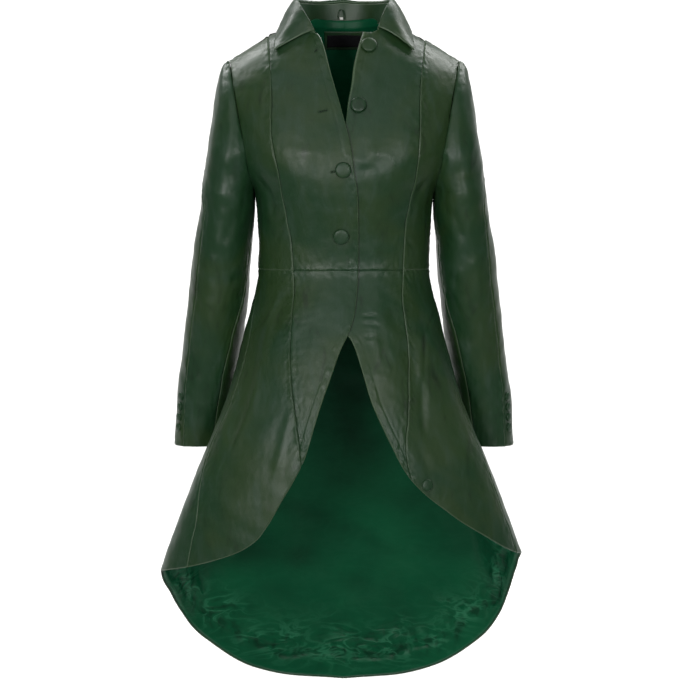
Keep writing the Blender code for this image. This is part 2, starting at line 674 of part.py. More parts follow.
def vent_buttons(finish):
    phi = np.radians(VENT_BUTTON_DEGREES)
    for side, sign in SIDES.items():
        for number, z in enumerate(VENT_BUTTON_Z, start=1):
            normal = sleeve_normal(sign, phi, z)
            centre = sleeve(sign, phi, z) + VENT_BUTTON_STAND * normal
            add_disc(f"vent_button_{side}_{number}", centre, normal, VENT_BUTTON_RADIUS, VENT_BUTTON_HEIGHT,
                     finish, VENT_BUTTON_SIDES)


def neck_ring(side, samples):
    """Points of the neckline from the collar's front end to centre back, on the leather's outer face."""
    sign = SIDES[side]
    along = np.linspace(0, 1, samples + 1)
    start = COLLAR_START[side]
    front = neck_line(side, start + (1 - start) * np.clip(along / NECK_TURN, 0, 1))
    back = back_neck_line(sign, np.clip((along - NECK_TURN) / (1 - NECK_TURN), 0, 1))
    line = np.where((along < NECK_TURN)[:, None], front, back)
    return along, body(line[:, 0], line[:, 1])


def collar_curves():
    """The stand's foot and top, the fold above it and the fall's outer edge, from right to left."""
    foot, roll, fold, rim = [], [], [], []
    for side, sign in SIDES.items():
        along, ring = neck_ring(side, COLLAR_SAMPLES)
        row = {name: smooth(along, COLLAR["along"], COLLAR[name])[:, None] for name in COLLAR}
        out = outward(ring)
        top = ring + row["lean"] * out + row["rise"] * UP
        crest = top + FOLD_OUT * out + row["roll"] * UP
        outer = np.concatenate([sign * row["edge_x"], row["edge_y"], row["edge_z"]], -1)
        curves = [ring + 2 * SEAM_GAP * UP, top, crest, outer]
        if side == "left":
            curves = [curve[-2::-1] for curve in curves]
        for kept, curve in zip((foot, roll, fold, rim), curves):
            kept.append(curve)
    return [np.concatenate(parts) for parts in (foot, roll, fold, rim)]


def outward(ring):
    """Level unit vectors away from the middle of the neck."""
    away = ring * np.array((1.0, 1.0, 0.0)) - np.array((0.0, NECK_CENTRE_Y, 0.0))
    return away / np.linalg.norm(away, axis=-1, keepdims=True)


def add_collar(finish):
    foot, roll, crest, rim = collar_curves()
    out = outward(foot)
    stand = np.stack([roll, (foot + roll) / 2, foot])
    add_wall("collar_stand", stand, stand - LEATHER * out, finish)
    inner_start = roll - LEATHER * out + ROLL_GAP * UP
    shoulder = crest + (rim - crest) * np.array(FALL_BEND)
    w = np.linspace(0, 1, FALL_ROWS + 1)[:, None, None]
    drape = (1 - w) ** 2 * crest + 2 * w * (1 - w) * shoulder + w**2 * rim
    fall = np.concatenate([inner_start[None], drape])
    normal = -grid_normals(fall)
    if np.mean((normal[3] * out).sum(-1)) < 0:
        normal = -normal
    normal[0] = -out
    add_wall("collar_fall", fall, fall - LEATHER * normal, finish)


def add_sleeves(finish):
    upper, under = sleeve_patches()
    for side, sign in SIDES.items():
        for name, patch in (("upper", upper), ("under", under)):
            surface = sleeve(sign, patch[..., 0], patch[..., 1])
            inside = surface - LEATHER * sleeve_normal(sign, patch[..., 0], patch[..., 1])
            outer, inner = (inset(face, SLEEVE_GAP, ("left", "right", "top")) for face in (surface, inside))
            add_wall(f"sleeve_{name}_{side}", outer, inner, finish)


def add_neck_trim(leather, label_cloth):
    """The label's leather patch and the bare label on the back lining, and the hanging loop on the stand."""
    depth = -(LEATHER + LAYER_GAP + SATIN + LAP_GAP)
    for name, size, out, thick, finish in (
        ("label_patch", PATCH, depth, PATCH_THICK, leather),
        ("label", LABEL, depth - PATCH_THICK - SEAM_GAP, LABEL_THICK, label_cloth),
    ):
        z = np.linspace(size["top"], size["bottom"], 4)[:, None]
        x = np.linspace(-size["half"], size["half"], 9)[None]
        theta = np.pi - angle_at(x, z)
        add_body_piece(name, edge(theta, z), finish, thick, (), out)
    foot, roll = (curve[COLLAR_SAMPLES] for curve in collar_curves()[:2])
    t = np.linspace(0, np.pi, LOOP_SAMPLES)
    z = LOOP_TOP - LOOP_DROP * (1 - np.sin(t) ** 0.6)
    stand_y = foot[1] + (roll[1] - foot[1]) * (z - foot[2]) / (roll[2] - foot[2]) - LEATHER - LOOP_GAP
    bow = np.stack([LOOP_X + LOOP_HALF * np.cos(t), stand_y, z], -1)
    near = np.stack([bow, bow - (0, LOOP_STAND, 0)])
    shrunk = near + LOOP_STRAP * np.stack([-np.cos(t), 0 * t, -np.sin(t)], -1)
    add_wall("hanging_loop", near, shrunk, leather)


def main():
    for old in list(bpy.data.objects):
        bpy.data.objects.remove(old, do_unlink=True)
    leather = material("leather", (0.026, 0.047, 0.026), 0.40)
    satin = material("satin", (0.004, 0.045, 0.022), 0.45)
    label_cloth = material("label_cloth", (0.012, 0.012, 0.016), 0.8)
    for side, sign in SIDES.items():
        lap = LAPS[side]
        for name, patch, seams in (
            ("front", front_patch(side), ("left", "top", "bottom")),
            ("skirt_front", skirt_front_patch(side), ("left", "top")),
        ):
            out = lap(patch[..., 0], patch[..., 1])
            add_body_piece(f"{name}_{side}", patch, leather, LEATHER, seams, out)
        for name, patch, seams in (
            ("side_front", side_front_patch(side), ("left", "right", "top", "bottom")),
            ("back", back_patch(side), ("left", "right", "top", "bottom")),
            ("skirt_side", skirt_side_patch(side), ("left", "right", "top")),
            ("tail", tail_patch(side), ("left", "right", "top")),
        ):
            add_body_piece(f"{name}_{side}", patch, leather, LEATHER, seams)
    inside = -(LEATHER + LAYER_GAP)
    add_body_piece("lining_back", whole_back(back_patch), satin, SATIN, ("left", "right", "bottom"), inside)
    tail = whole_back(lambda side: tail_patch(side, hem_rise=LINING_RISE))
    add_body_piece("lining_tail", tail, satin, SATIN, ("left", "right", "top"), inside)
    add_sleeves(leather)
    add_collar(leather)
    add_neck_trim(leather, label_cloth)
    front_buttons(leather)
    vent_buttons(leather)


main()
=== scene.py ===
"""The looks of a dark green leather tail coat, filled out as when it is worn.

Metres, +Z up; the front faces -Y and the wearer's left is +X. Every cut piece is a thin closed shell over a
patch of the coat's surface body(theta, z), or of the sleeve's, with its creases, puckers and rolled edges."""

import bmesh
import bpy
import mathutils
import numpy as np
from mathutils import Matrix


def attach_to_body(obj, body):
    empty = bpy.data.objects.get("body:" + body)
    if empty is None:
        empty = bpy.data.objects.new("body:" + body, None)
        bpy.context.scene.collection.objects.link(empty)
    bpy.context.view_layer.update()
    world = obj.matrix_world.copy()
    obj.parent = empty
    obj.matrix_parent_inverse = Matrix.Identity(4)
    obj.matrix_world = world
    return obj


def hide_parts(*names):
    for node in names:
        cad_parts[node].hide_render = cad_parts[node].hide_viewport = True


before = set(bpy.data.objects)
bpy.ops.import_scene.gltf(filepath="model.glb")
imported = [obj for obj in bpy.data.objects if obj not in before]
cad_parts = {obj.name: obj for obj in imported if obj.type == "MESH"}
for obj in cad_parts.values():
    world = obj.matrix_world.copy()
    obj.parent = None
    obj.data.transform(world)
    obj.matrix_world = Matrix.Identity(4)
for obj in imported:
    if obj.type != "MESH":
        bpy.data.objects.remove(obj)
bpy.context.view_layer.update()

# Fronts
# Two panels of thin smooth leather, from the princess seam to the front edge and from the shoulder to the
# waist. Seams are pressed open, so a low band shows beside each; front edges are turned and rolled over.
LEATHER, SEAM_GAP, LAP_GAP = 0.0020, 0.0003, 0.0009
SHOULDER_HALF, SHOULDER_Z, SHOULDER_SLOPE, SHOULDER_ROUND = 0.182, -0.036, 0.575, 0.070
NECK_HALF, NECK_HOLLOW = 0.072, 0.009
WAIST_Z = -0.366
LAP_EDGE, LAP_END = 0.028, 0.052
LAP_TOP, LAP_BOTTOM, LAP_FADE = -0.070, -0.530, 0.045
LAP_SHADE, LAP_SHADE_WIDTH, LAP_SHADE_TOP, LAP_SHADE_FADE = 0.0050, 0.0020, -0.130, 0.020
SEAM_SHADE, SEAM_SHADE_WIDTH = 0.0032, 0.0030
# OPEN_RUB_AND_HIGHLIGHT widens the pale edge line, partly rubbed wear and partly painted highlight, along the
# left front's open edge; NO_RUB_OR_HIGHLIGHT is an edge distance with no such line.
OPEN_RUB_AND_HIGHLIGHT, OPEN_RUB_AND_HIGHLIGHT_FADE, NO_RUB_OR_HIGHLIGHT = 0.55, 0.030, 0.01
PRINCESS_CROWD, OPENING_CROWD = 1.35, 1.10
FRONT_SHOULDER_SHARE = 3 / 7
SIDES = {"right": -1, "left": 1}
FRONT_STEP, FRONT_WIDTH, FRONT_LENGTH = 0.0031, 0.15, 0.41
EDGE_SAMPLES, NORMAL_STEP = (0.0006, 0.0013, 0.0024), 1e-4
SEAM_ROLL, SEAM_ROLL_WIDTH, SEAM_TUCK = 0.0010, 0.0011, 0.0007
FOLDED_ROLL, FOLDED_ROLL_WIDTH = 0.0011, 0.0010
ALLOWANCE, ALLOWANCE_RISE, BAND_EASE = 0.0085, 0.00026, 0.004
PUCKER_REACH, PUCKER_RISE, PUCKER_START = 0.014, 0.00034, 0.003
FACING, FACING_GROOVE, FACING_STITCH, FACING_RISE = 0.0150, 0.0006, 0.0012, 0.0003
SWELL = ((0.00055, 0.090, 1), (0.00026, 0.036, 2), (0.00010, 0.013, 3))
LEATHER_COLOURS = {"green": (22, 52, 28), "olive": (34, 56, 26), "cool": (44, 65, 52), "dark_and_painted_shade": (5, 15, 8),
                   "rubbed_and_edge_highlight": (92, 110, 86)}


def table(columns, *rows):
    """A short table as a dictionary of its named columns."""
    return dict(zip(columns.split(), np.array(rows, float).T))


SECTIONS = table(
    "z half front back mid square",
    (0.090, 0.1856, 0.050, 0.060, 0.000, 0.65),
    (0.010, 0.1856, 0.064, 0.070, 0.000, 0.65),
    (-0.035, 0.1856, 0.080, 0.080, 0.000, 0.64),
    (-0.096, 0.1856, 0.104, 0.092, 0.000, 0.62),
    (-0.131, 0.1820, 0.114, 0.096, 0.000, 0.63),
    (-0.165, 0.1760, 0.121, 0.096, 0.000, 0.65),
    (-0.192, 0.1700, 0.124, 0.095, 0.000, 0.70),
    (-0.216, 0.1600, 0.123, 0.093, 0.000, 0.76),
    (-0.246, 0.1420, 0.119, 0.090, 0.000, 0.84),
    (-0.272, 0.1390, 0.112, 0.086, 0.000, 0.88),
    (-0.320, 0.1360, 0.099, 0.078, 0.000, 0.94),
    (-0.366, 0.1355, 0.092, 0.075, 0.000, 1.00),
    (-0.400, 0.1410, 0.097, 0.081, -0.003, 1.00),
    (-0.432, 0.1500, 0.104, 0.092, -0.007, 1.00),
    (-0.496, 0.1660, 0.113, 0.118, -0.015, 1.00),
    (-0.576, 0.1890, 0.119, 0.150, -0.024, 1.00),
    (-0.656, 0.2220, 0.123, 0.176, -0.028, 1.00),
    (-0.736, 0.2540, 0.128, 0.196, -0.024, 1.00),
    (-0.848, 0.2950, 0.134, 0.214, -0.012, 1.00),
    (-1.090, 0.3735, 0.140, 0.240, 0.000, 1.00),
)
FOLDS = table(
    "degrees z_start z_full z_end width rise",
    (-31, -0.060, -0.190, -0.330, 24, 0.007),
    (31, -0.060, -0.190, -0.330, 24, 0.007),
    (40, -0.400, -0.520, -0.760, 7, -0.006),
    (-62, -0.380, -0.520, -0.700, 9, -0.003),
    (-112, -0.420, -0.700, -1.300, 13, -0.008),
    (112, -0.420, -0.700, -1.300, 13, -0.008),
    (-135, -0.450, -0.900, -1.500, 12, 0.008),
    (134, -0.450, -0.900, -1.500, 12, 0.007),
    (-157, -0.480, -0.950, -1.500, 11, -0.006),
    (158, -0.480, -0.950, -1.500, 11, -0.007),
)
PRINCESS = {
    "right": table(
        "z x",
        (0.002, -0.120), (-0.018, -0.118), (-0.071, -0.114), (-0.152, -0.110), (-0.215, -0.099),
        (-0.250, -0.0945), (-0.289, -0.0885), (-0.329, -0.0825), (-0.366, -0.0795),
    ),
    "left": table(
        "z x",
        (-0.003, 0.128), (-0.022, 0.126), (-0.071, 0.120), (-0.152, 0.114), (-0.215, 0.1095),
        (-0.257, 0.1013), (-0.289, 0.0967), (-0.329, 0.0938), (-0.366, 0.0924),
    ),
}
FRONT_EDGE = {
    "right": table(
        "z x",
        (0.004, -0.0420), (-0.005, -0.036), (-0.062, -0.020), (-0.1265, -0.0015), (-0.174, 0.010),
        (-0.208, 0.0147), (-0.256, 0.021), (-0.315, 0.0225), (-0.366, 0.0225),
    ),
    "left": table(
        "z x",
        (0.006, 0.030), (-0.025, 0.0204), (-0.053, 0.014), (-0.079, 0.0109), (-0.1035, 0.0062),
        (-0.1325, 0.0031), (-0.190, -0.012), (-0.256, -0.024), (-0.315, -0.027), (-0.366, -0.027),
    ),
}
HEM = {
    "right": table(
        "degrees z",
        (-9.6, -0.366), (-9.0, -0.387), (-7.8, -0.410), (-6.0, -0.436), (-2.4, -0.464), (2.0, -0.489),
        (7.0, -0.533), (10.0, -0.562), (13.0, -0.601), (16.0, -0.656), (19.0, -0.686), (23.0, -0.722),
        (26.5, -0.757), (30.0, -0.783), (36.0, -0.803), (46.0, -0.820), (60.0, -0.835), (76.0, -0.845),
        (90.0, -0.852), (106.0, -0.887), (122.0, -0.936), (138.0, -0.998), (154.0, -1.053), (167.0, -1.073),
        (180.0, -1.080),
    ),
    "left": table(
        "degrees z",
        (-11.5, -0.366), (-11.0, -0.400), (-8.0, -0.430), (-2.0, -0.455), (4.0, -0.474), (7.0, -0.495),
        (10.0, -0.529), (13.0, -0.567), (16.0, -0.596), (19.0, -0.625), (23.0, -0.665), (26.0, -0.687),
        (31.0, -0.711), (38.0, -0.736), (46.0, -0.761), (56.0, -0.785), (66.0, -0.804), (78.0, -0.817),
        (90.0, -0.822), (98.0, -0.834), (106.0, -0.859), (122.0, -0.919), (138.0, -0.994), (154.0, -1.050),
        (167.0, -1.072), (180.0, -1.080),
    ),
}

CREASE_FADE, LIP_OFF, LIP_WIDTH, LIP_SHARE = 0.3, 1.9, 1.2, 0.4

# The main creases of the body: from one angle and height to another, how far each bows, its half width and
# its depth. A negative depth is a ridge.
CREASES = (
    (-44, -0.300, -52, -0.326, 0.002, 0.0040, 0.0012),
    (-38, -0.262, -50, -0.300, -0.003, 0.0070, 0.0010),
    (43, -0.312, 56, -0.332, 0.002, 0.0040, 0.0012),
    (36, -0.270, 50, -0.306, -0.002, 0.0070, 0.0010),
    (60, -0.215, 48, -0.290, 0.004, 0.0090, 0.0016),
    (-62, -0.210, -50, -0.286, -0.004, 0.0090, 0.0016),
    (70, -0.235, 78, -0.330, 0.004, 0.0080, 0.0014),
    (-70, -0.235, -79, -0.322, -0.004, 0.0080, 0.0014),
    (10, -0.436, 21, -0.434, 0.001, 0.0026, 0.0028),
    (10, -0.449, 22, -0.452, -0.001, 0.0028, 0.0024),
    (11, -0.468, 19, -0.466, 0.001, 0.0028, 0.0016),
    (6, -0.215, 22, -0.196, 0.002, 0.0080, 0.0010),
    (7, -0.206, 17, -0.172, 0.003, 0.0110, -0.0014),
    (-14, -0.176, -24, -0.214, 0.003, 0.0110, -0.0012),
    (-10, -0.190, -28, -0.206, 0.003, 0.0090, 0.0009),
    (-8, -0.395, -14, -0.470, 0.003, 0.0100, 0.0010),
    (-20, -0.385, -23, -0.500, -0.003, 0.0120, 0.0011),
    (-40, -0.390, -45, -0.560, 0.006, 0.0140, 0.0017),
    (-55, -0.440, -62, -0.660, -0.006, 0.0160, 0.0018),
    (30, -0.385, 33, -0.470, 0.004, 0.0100, 0.0011),
    (52, -0.400, 60, -0.620, 0.006, 0.0150, 0.0018),
    (33, -0.600, 36, -0.700, 0.003, 0.0100, 0.0013),
    (76, -0.430, 54, -0.466, 0.004, 0.0040, 0.0016),
    (56, -0.455, 46, -0.550, 0.005, 0.0050, 0.0019),
    (47, -0.520, 36, -0.640, 0.002, 0.0060, 0.0015),
    (-25, -0.560, -27, -0.700, 0.003, 0.0070, -0.0012),
    (-49, -0.520, -56, -0.700, -0.004, 0.0110, -0.0016),
    (17, -0.440, 20, -0.520, 0.002, 0.0060, -0.0010),
    (100, -0.240, 112, -0.330, 0.005, 0.0090, 0.0014),
    (-100, -0.244, -114, -0.326, -0.005, 0.0090, 0.0014),
    (118, -0.286, 158, -0.338, 0.004, 0.0080, 0.0012),
    (-120, -0.292, -160, -0.332, -0.004, 0.0085, 0.0011),
    (124, -0.325, 150, -0.352, 0.003, 0.0060, 0.0011),
    (-122, -0.334, -146, -0.350, -0.002, 0.0060, 0.0010),
    (116, -0.150, 122, -0.230, 0.006, 0.0120, 0.0016),
    (-116, -0.144, -123, -0.236, -0.006, 0.0120, 0.0015),
    (150, -0.060, 132, -0.110, -0.004, 0.0120, 0.0012),
    (-149, -0.064, -131, -0.108, 0.004, 0.0120, 0.0011),
    (128, -0.400, 122, -0.620, -0.010, 0.0180, 0.0020),
    (-126, -0.395, -120, -0.600, 0.010, 0.0180, 0.0021),
    (152, -0.390, 146, -0.700, 0.012, 0.0220, 0.0022),
    (-154, -0.392, -147, -0.720, -0.012, 0.0220, 0.0020),
    (170, -0.400, 168, -0.560, 0.006, 0.0160, 0.0013),
    (-171, -0.410, -168, -0.600, -0.006, 0.0160, 0.0012),
    (106, -0.560, 110, -0.790, 0.010, 0.0180, 0.0018),
    (-105, -0.540, -111, -0.780, -0.010, 0.0180, 0.0019),
    (140, -0.760, 136, -0.960, 0.010, 0.0240, 0.0022),
    (-141, -0.740, -138, -0.950, -0.010, 0.0240, 0.0020),
    (163, -0.820, 160, -1.040, 0.008, 0.0260, 0.0020),
    (-165, -0.800, -161, -1.030, -0.008, 0.0260, 0.0019),
)


def smooth(at, knots, values):
    """Monotone cubic through the knots: rounded between them, and never past a neighbour's value."""
    order = np.argsort(knots)
    x, y = np.asarray(knots, float)[order], np.asarray(values, float)[order]
    step = np.diff(x)
    rise = np.diff(y) / step
    before, after = rise[:-1], rise[1:]
    rising = before * after > 0
    total = np.where(rising, before + after, 1.0)
    slope = np.concatenate([rise[:1], np.where(rising, 2 * before * after / total, 0.0), rise[-1:]])
    at = np.clip(np.asarray(at, float), x[0], x[-1])
    i = np.clip(np.searchsorted(x, at, side="right") - 1, 0, len(step) - 1)
    t = (at - x[i]) / step[i]
    return (
        (1 + 2 * t) * (1 - t) ** 2 * y[i]
        + t * (1 - t) ** 2 * step[i] * slope[i]
        + t**2 * (3 - 2 * t) * y[i + 1]
        + t**2 * (t - 1) * step[i] * slope[i + 1]
    )


def ease(t):
    """0 to 1 with level ends."""
    t = np.clip(t, 0, 1)
    return t * t * (3 - 2 * t)


def bell(t):
    """1 in the middle, falling away to both sides."""
    return np.exp(-(t**2))


def unit(vectors):
    """Vectors brought to a length of 1."""
    return vectors / np.maximum(np.linalg.norm(vectors, axis=-1, keepdims=True), 1e-12)


def column(rows, name, at, by="z"):
    """A column of a table, read at a value of another one."""
    return smooth(at, rows[by], rows[name])


def section(z, name):
    """A column of the body's sections at the height z."""
    return column(SECTIONS, name, z)


def shoulder_line(x):
    """Height of the shoulder seam at the distance x from the middle."""
    return SHOULDER_Z + SHOULDER_SLOPE * (SHOULDER_HALF - np.abs(x))


def turned(theta, degrees):
    """The angle from the one given in degrees to theta, between half a turn either way."""
    away = theta - np.radians(degrees)
    return np.arctan2(np.sin(away), np.cos(away))


def fold_rise(theta, z):
    """How far the folds push the surface out: a bell across each fold, eased in and out along it."""
    total = np.zeros(np.broadcast(theta, z).shape)
    for degrees, start, full, end, width, rise in zip(*FOLDS.values()):
        along = ease((start - z) / (start - full)) * ease((z - end) / (full - end))
        total = total + rise * along * bell(np.degrees(turned(theta, degrees)) / width)
    return total


def body(theta, z, out=0.0):
    """The coat's surface: half a squared ellipse in front and half behind at each height, rounded over at the
    shoulder seam. out moves the surface outwards."""
    grow = out + fold_rise(theta, z)
    depth = np.where(np.cos(theta) > 0, section(z, "front"), section(z, "back")) + grow
    x = (section(z, "half") + grow) * np.sin(theta)
    towards_front = np.sign(np.cos(theta)) * np.abs(np.cos(theta)) ** section(z, "square")
    over = np.clip(1 - (shoulder_line(section(z, "half") * np.sin(theta)) - z) / SHOULDER_ROUND, 0, 1)
    y = section(z, "mid") - depth * np.sqrt(1 - over**2) * towards_front
    return np.stack(np.broadcast_arrays(x, y, z + out * over), -1)


def surface_normal(at, theta, z):
    """The outward normal of at(theta, z) by small steps round and along it."""
    step = NORMAL_STEP
    across_it = at(theta + step, z) - at(theta - step, z)
    return unit(np.cross(at(theta, z - step) - at(theta, z + step), across_it))


def left_lap(theta, z):
    """How far the left front lies in under the right front where they overlap."""
    x = section(z, "half") * np.sin(theta)
    across = ease((LAP_END - x) / (LAP_END - LAP_EDGE))
    along = ease((LAP_TOP - z) / LAP_FADE) * ease((z - LAP_BOTTOM) / LAP_FADE)
    return -(LEATHER + LAP_GAP) * across * along


def no_lap(theta, z):
    return np.zeros(np.broadcast(theta, z).shape)


LAPS = {"right": no_lap, "left": left_lap}


def waves(points, length, seed, count=16):
    """Uneven swell of about -1 to 1: seeded plane waves of about that length in all directions, summed."""
    rng = np.random.default_rng(seed)
    way = rng.normal(size=(count, 3))
    way *= 2 * np.pi / length * rng.uniform(0.6, 1.7, (count, 1)) / np.linalg.norm(way, axis=1, keepdims=True)
    return np.sin(points @ way.T + rng.uniform(0, 2 * np.pi, count)).sum(-1) / np.sqrt(count)


def crease(across, along, length, bow, width, depth, uneven):
    """A soft trough with a low ridge at each side: a bell across the bowed line, fading at the line's ends
    and of uneven depth along it."""
    t = along / length
    off = (across - 4 * bow * t * (1 - t)) / width
    fade = ease(t / CREASE_FADE) * ease((1 - t) / CREASE_FADE) * (0.78 + 0.22 * np.sin(11 * t + uneven))
    lips = bell((off - LIP_OFF) / LIP_WIDTH) + bell((off + LIP_OFF) / LIP_WIDTH)
    return depth * fade * (LIP_SHARE * lips - bell(off))


def layered(points, rows):
    """The sum of waves, each of a height, a length and a seed."""
    return sum(height * waves(points, length, seed) for height, length, seed in rows)


def creased(rise, creases, angle, z, radius_at, first=0):
    """The rise with a table's creases added. radius_at turns angles into lengths at a crease's height."""
    for number, (degrees, top, to_degrees, bottom, bow, width, depth) in enumerate(creases, start=first):
        radius = radius_at((top + bottom) / 2)
        x, down = turned(angle, degrees) * radius, z - top
        run, drop = np.radians(to_degrees - degrees) * radius, bottom - top
        length = np.hypot(run, drop)
        along, aside = (x * run + down * drop) / length, (x * drop - down * run) / length
        rise = rise + crease(aside, along, length, bow, width, depth, number)
    return rise


def relief(theta, z):
    """The coat's creases and the leather's own gentle swell, as a rise of the surface."""
    return creased(layered(body(theta, z), SWELL), CREASES, theta, z, lambda height: section(height, "half"))


def angle_at(x, z):
    """The angle round the front at which the surface passes x."""
    return np.arcsin(np.clip(x / section(z, "half"), -1, 1))


def edge(theta, z):
    return np.stack(np.broadcast_arrays(theta, z), -1).astype(float)


def samples(length, step, *kept):
    """Where an edge is sampled, from 0 to 1: every step metres, closer near both ends, and at kept places."""
    near = np.array(EDGE_SAMPLES) / length
    even = np.linspace(0, 1, max(int(length / step), 2) + 1)
    return np.unique(np.concatenate([even, near, 1 - near, kept]))


def coons(left, right, top, bottom, u, v):
    """A patch between four edges, each a list of (theta, z): the two ruled patches less the corners' one."""
    u, v = u[None, :, None], v[:, None, None]
    sides = (1 - u) * left[:, None] + u * right[:, None]
    ends = (1 - v) * top[None] + v * bottom[None]
    corners = (1 - v) * ((1 - u) * top[0] + u * top[-1]) + v * ((1 - u) * bottom[0] + u * bottom[-1])
    return sides + ends - corners


def edge_distances(points):
    """The way along the grid from each point to its left, right, top and bottom edges."""
    found = {}
    for names, axis in ((("left", "right"), 1), (("top", "bottom"), 0)):
        steps = np.linalg.norm(np.diff(points, axis=axis), axis=-1)
        start = np.zeros_like(np.take(steps, [0], axis))
        run = np.concatenate([start, np.cumsum(steps, axis)], axis)
        found[names[0]], found[names[1]] = run, np.take(run, [-1], axis) - run
    return found


def sewn(points, seams, faced=()):
    """How sewing and turning shape a piece near its edges, as a rise, and the distance to the nearest edge.
    A seam rolls down into its groove beside the raised band of its allowance, and puckers fade from it; any
    other edge is turned, and rolls down alone. A faced edge is also stitched down along its facing's edge.
    Beside a faced piece its neighbour stands proud, so the faced one gets the pale edge line, rubbed wear and
    painted highlight, at its turned edges alone."""
    away = edge_distances(points)
    rise = np.zeros(points.shape[:2])
    pucker = waves(points, 0.011, 5) + 0.6 * waves(points, 0.006, 6)
    for name, d in away.items():
        if name in seams:
            roll, share = SEAM_ROLL * (0.5 if name in ("top", "bottom") else 1.0), 1.0
            rise += ALLOWANCE_RISE * ease((ALLOWANCE - d) / BAND_EASE)
            rise -= roll * bell(d / SEAM_ROLL_WIDTH)
        else:
            rise -= FOLDED_ROLL * bell(d / FOLDED_ROLL_WIDTH)
            share = 0.5
        rise += PUCKER_RISE * share * pucker * bell(d / PUCKER_REACH) * ease(d / PUCKER_START)
        if name in faced:
            rise -= FACING_GROOVE * bell((d - FACING) / FACING_STITCH)
            band = ease((FACING - d) / BAND_EASE) * ease(d / BAND_EASE)
            rise += (FACING_RISE + PUCKER_RISE * 0.5 * pucker) * band
    rubbed_and_edge_highlight = [name for name in away if not faced or name not in seams]
    nearest = np.minimum.reduce([away[name] + SEAM_TUCK * (name in seams) for name in rubbed_and_edge_highlight])
    return np.maximum(rise, -0.75 * LEATHER), nearest


def inset(points, gap, seams):
    """Draws the named edges of a grid in by half the gap, along the grid."""
    points = points.copy()
    for names, rows in ((("top", "bottom"), points), (("left", "right"), points.swapaxes(0, 1))):
        for name, at, towards in zip(names, (0, -1), (1, -2)):
            if name in seams:
                rows[at] += gap / 2 * unit(rows[towards] - rows[at])
    return points


def add_object(name, data):
    made = bpy.data.objects.new(name, data)
    bpy.context.scene.collection.objects.link(made)
    return made


def add_mesh(name, points, faces, finish, **values):
    """A mesh object with its faces turned outwards and a value at each point for each named attribute."""
    mesh = bpy.data.meshes.new(name)
    mesh.from_pydata(points.tolist(), [], faces)
    shell = bmesh.new()
    shell.from_mesh(mesh)
    bmesh.ops.recalc_face_normals(shell, faces=shell.faces)
    shell.to_mesh(mesh)
    shell.free()
    mesh.shade_smooth()
    for kind, value in values.items():
        data = mesh.attributes.new(kind, "FLOAT", "POINT").data
        data.foreach_set("value", np.ravel(value).astype(np.float32))
    mesh.materials.append(finish)
    return add_object(name, mesh)


def add_wall(name, outer, inner, finish, **values):
    """A closed wall between two grids of the same size, with a rim round their edges."""
    rows, columns = outer.shape[:2]
    index = np.arange(rows * columns).reshape(rows, columns)
    near = np.stack([index[:-1, :-1], index[:-1, 1:], index[1:, 1:], index[1:, :-1]], -1).reshape(-1, 4)
    rim = np.concatenate([index[0], index[1:, -1], index[-1, -2::-1], index[-2:0:-1, 0]])
    after = np.roll(rim, -1)
    sides = np.stack([after, rim, rim + rows * columns, after + rows * columns], -1)
    points = np.concatenate([outer.reshape(-1, 3), inner.reshape(-1, 3)])
    faces = np.concatenate([near, near[:, ::-1] + rows * columns, sides])
    values = {kind: np.concatenate([np.ravel(value)] * 2) for kind, value in values.items()}
    return add_mesh(name, points, faces.tolist(), finish, **values)


class Socket:
    """A shader value that takes part in Python sums: each operator adds its Math node."""

    def __init__(self, finish, socket):
        self.finish, self.socket = finish, socket

    def math(self, operation, first, second=0.0):
        return self.finish.node("Math", {"operation": operation}, {0: first, 1: second})

    def __add__(self, other):
        return self.math("ADD", self, other)

    def __sub__(self, other):
        return self.math("SUBTRACT", self, other)

    def __rsub__(self, other):
        return self.math("SUBTRACT", other, self)

    def __mul__(self, other):
        return self.math("MULTIPLY", self, other)

    __radd__, __rmul__ = __add__, __mul__


class Finish:
    """A material under construction."""

    def __init__(self, name):
        self.material = bpy.data.materials.new(name)
        self.material.use_nodes = True
        self.tree = self.material.node_tree
        self.tree.nodes.clear()
        self.place = self.node("TexCoord", out="Object")

    def node(self, kind, settings=None, sockets=None, out=0):
        """Adds a node: its settings first, then the value or the link of each named socket."""
        made = self.tree.nodes.new("ShaderNode" + kind)
        for name, value in (settings or {}).items():
            setattr(made, name, value)
        for name, value in (sockets or {}).items():
            if isinstance(value, Socket):
                self.tree.links.new(value.socket, made.inputs[name])
            else:
                made.inputs[name].default_value = value
        return made if out is None else Socket(self, made.outputs[out])

    def attribute(self, name):
        return self.node("Attribute", {"attribute_name": name}, out="Fac")

    def noise(self, scale, detail=2.0, roughness=0.5, distortion=0.0, place=None):
        sockets = {"Vector": place or self.place, "Scale": scale, "Detail": detail, "Roughness": roughness}
        return self.node("TexNoise", None, {**sockets, "Distortion": distortion})

    def step(self, value, low, high):
        """0 below low and 1 above high, smooth between them."""
        settings = {"interpolation_type": "SMOOTHSTEP"}
        return self.node("MapRange", settings, {"Value": value, "From Min": low, "From Max": high})

    def blend(self, share, first, second):
        """Two colours mixed; a colour is a socket, or red, green and blue from 0 to 255."""
        first, second = (c if isinstance(c, Socket) else (*linear(c), 1) for c in (first, second))
        return self.node("Mix", {"data_type": "RGBA"}, {0: share, 6: first, 7: second}, out=2)

    def bump(self, height, distance, strength, under=None):
        sockets = {"Height": height, "Distance": distance, "Strength": strength}
        return self.node("Bump", None, {**sockets, **({"Normal": under} if under else {})})

    def close(self, tone, roughness, normal, shine):
        """The surface shader and the output."""
        sockets = {"Base Color": tone, "Roughness": roughness, "Specular IOR Level": shine}
        shader = self.node("BsdfPrincipled", None, {**sockets, **({"Normal": normal} if normal else {})})
        self.node("OutputMaterial", None, {"Surface": shader}, out=None)
        return self.material


def linear(colour):
    """Screen red, green and blue from 0 to 255 as light."""
    c = np.array(colour) / 255
    return tuple(float(x) for x in np.where(c < 0.04045, c / 12.92, ((c + 0.055) / 1.055) ** 2.4))


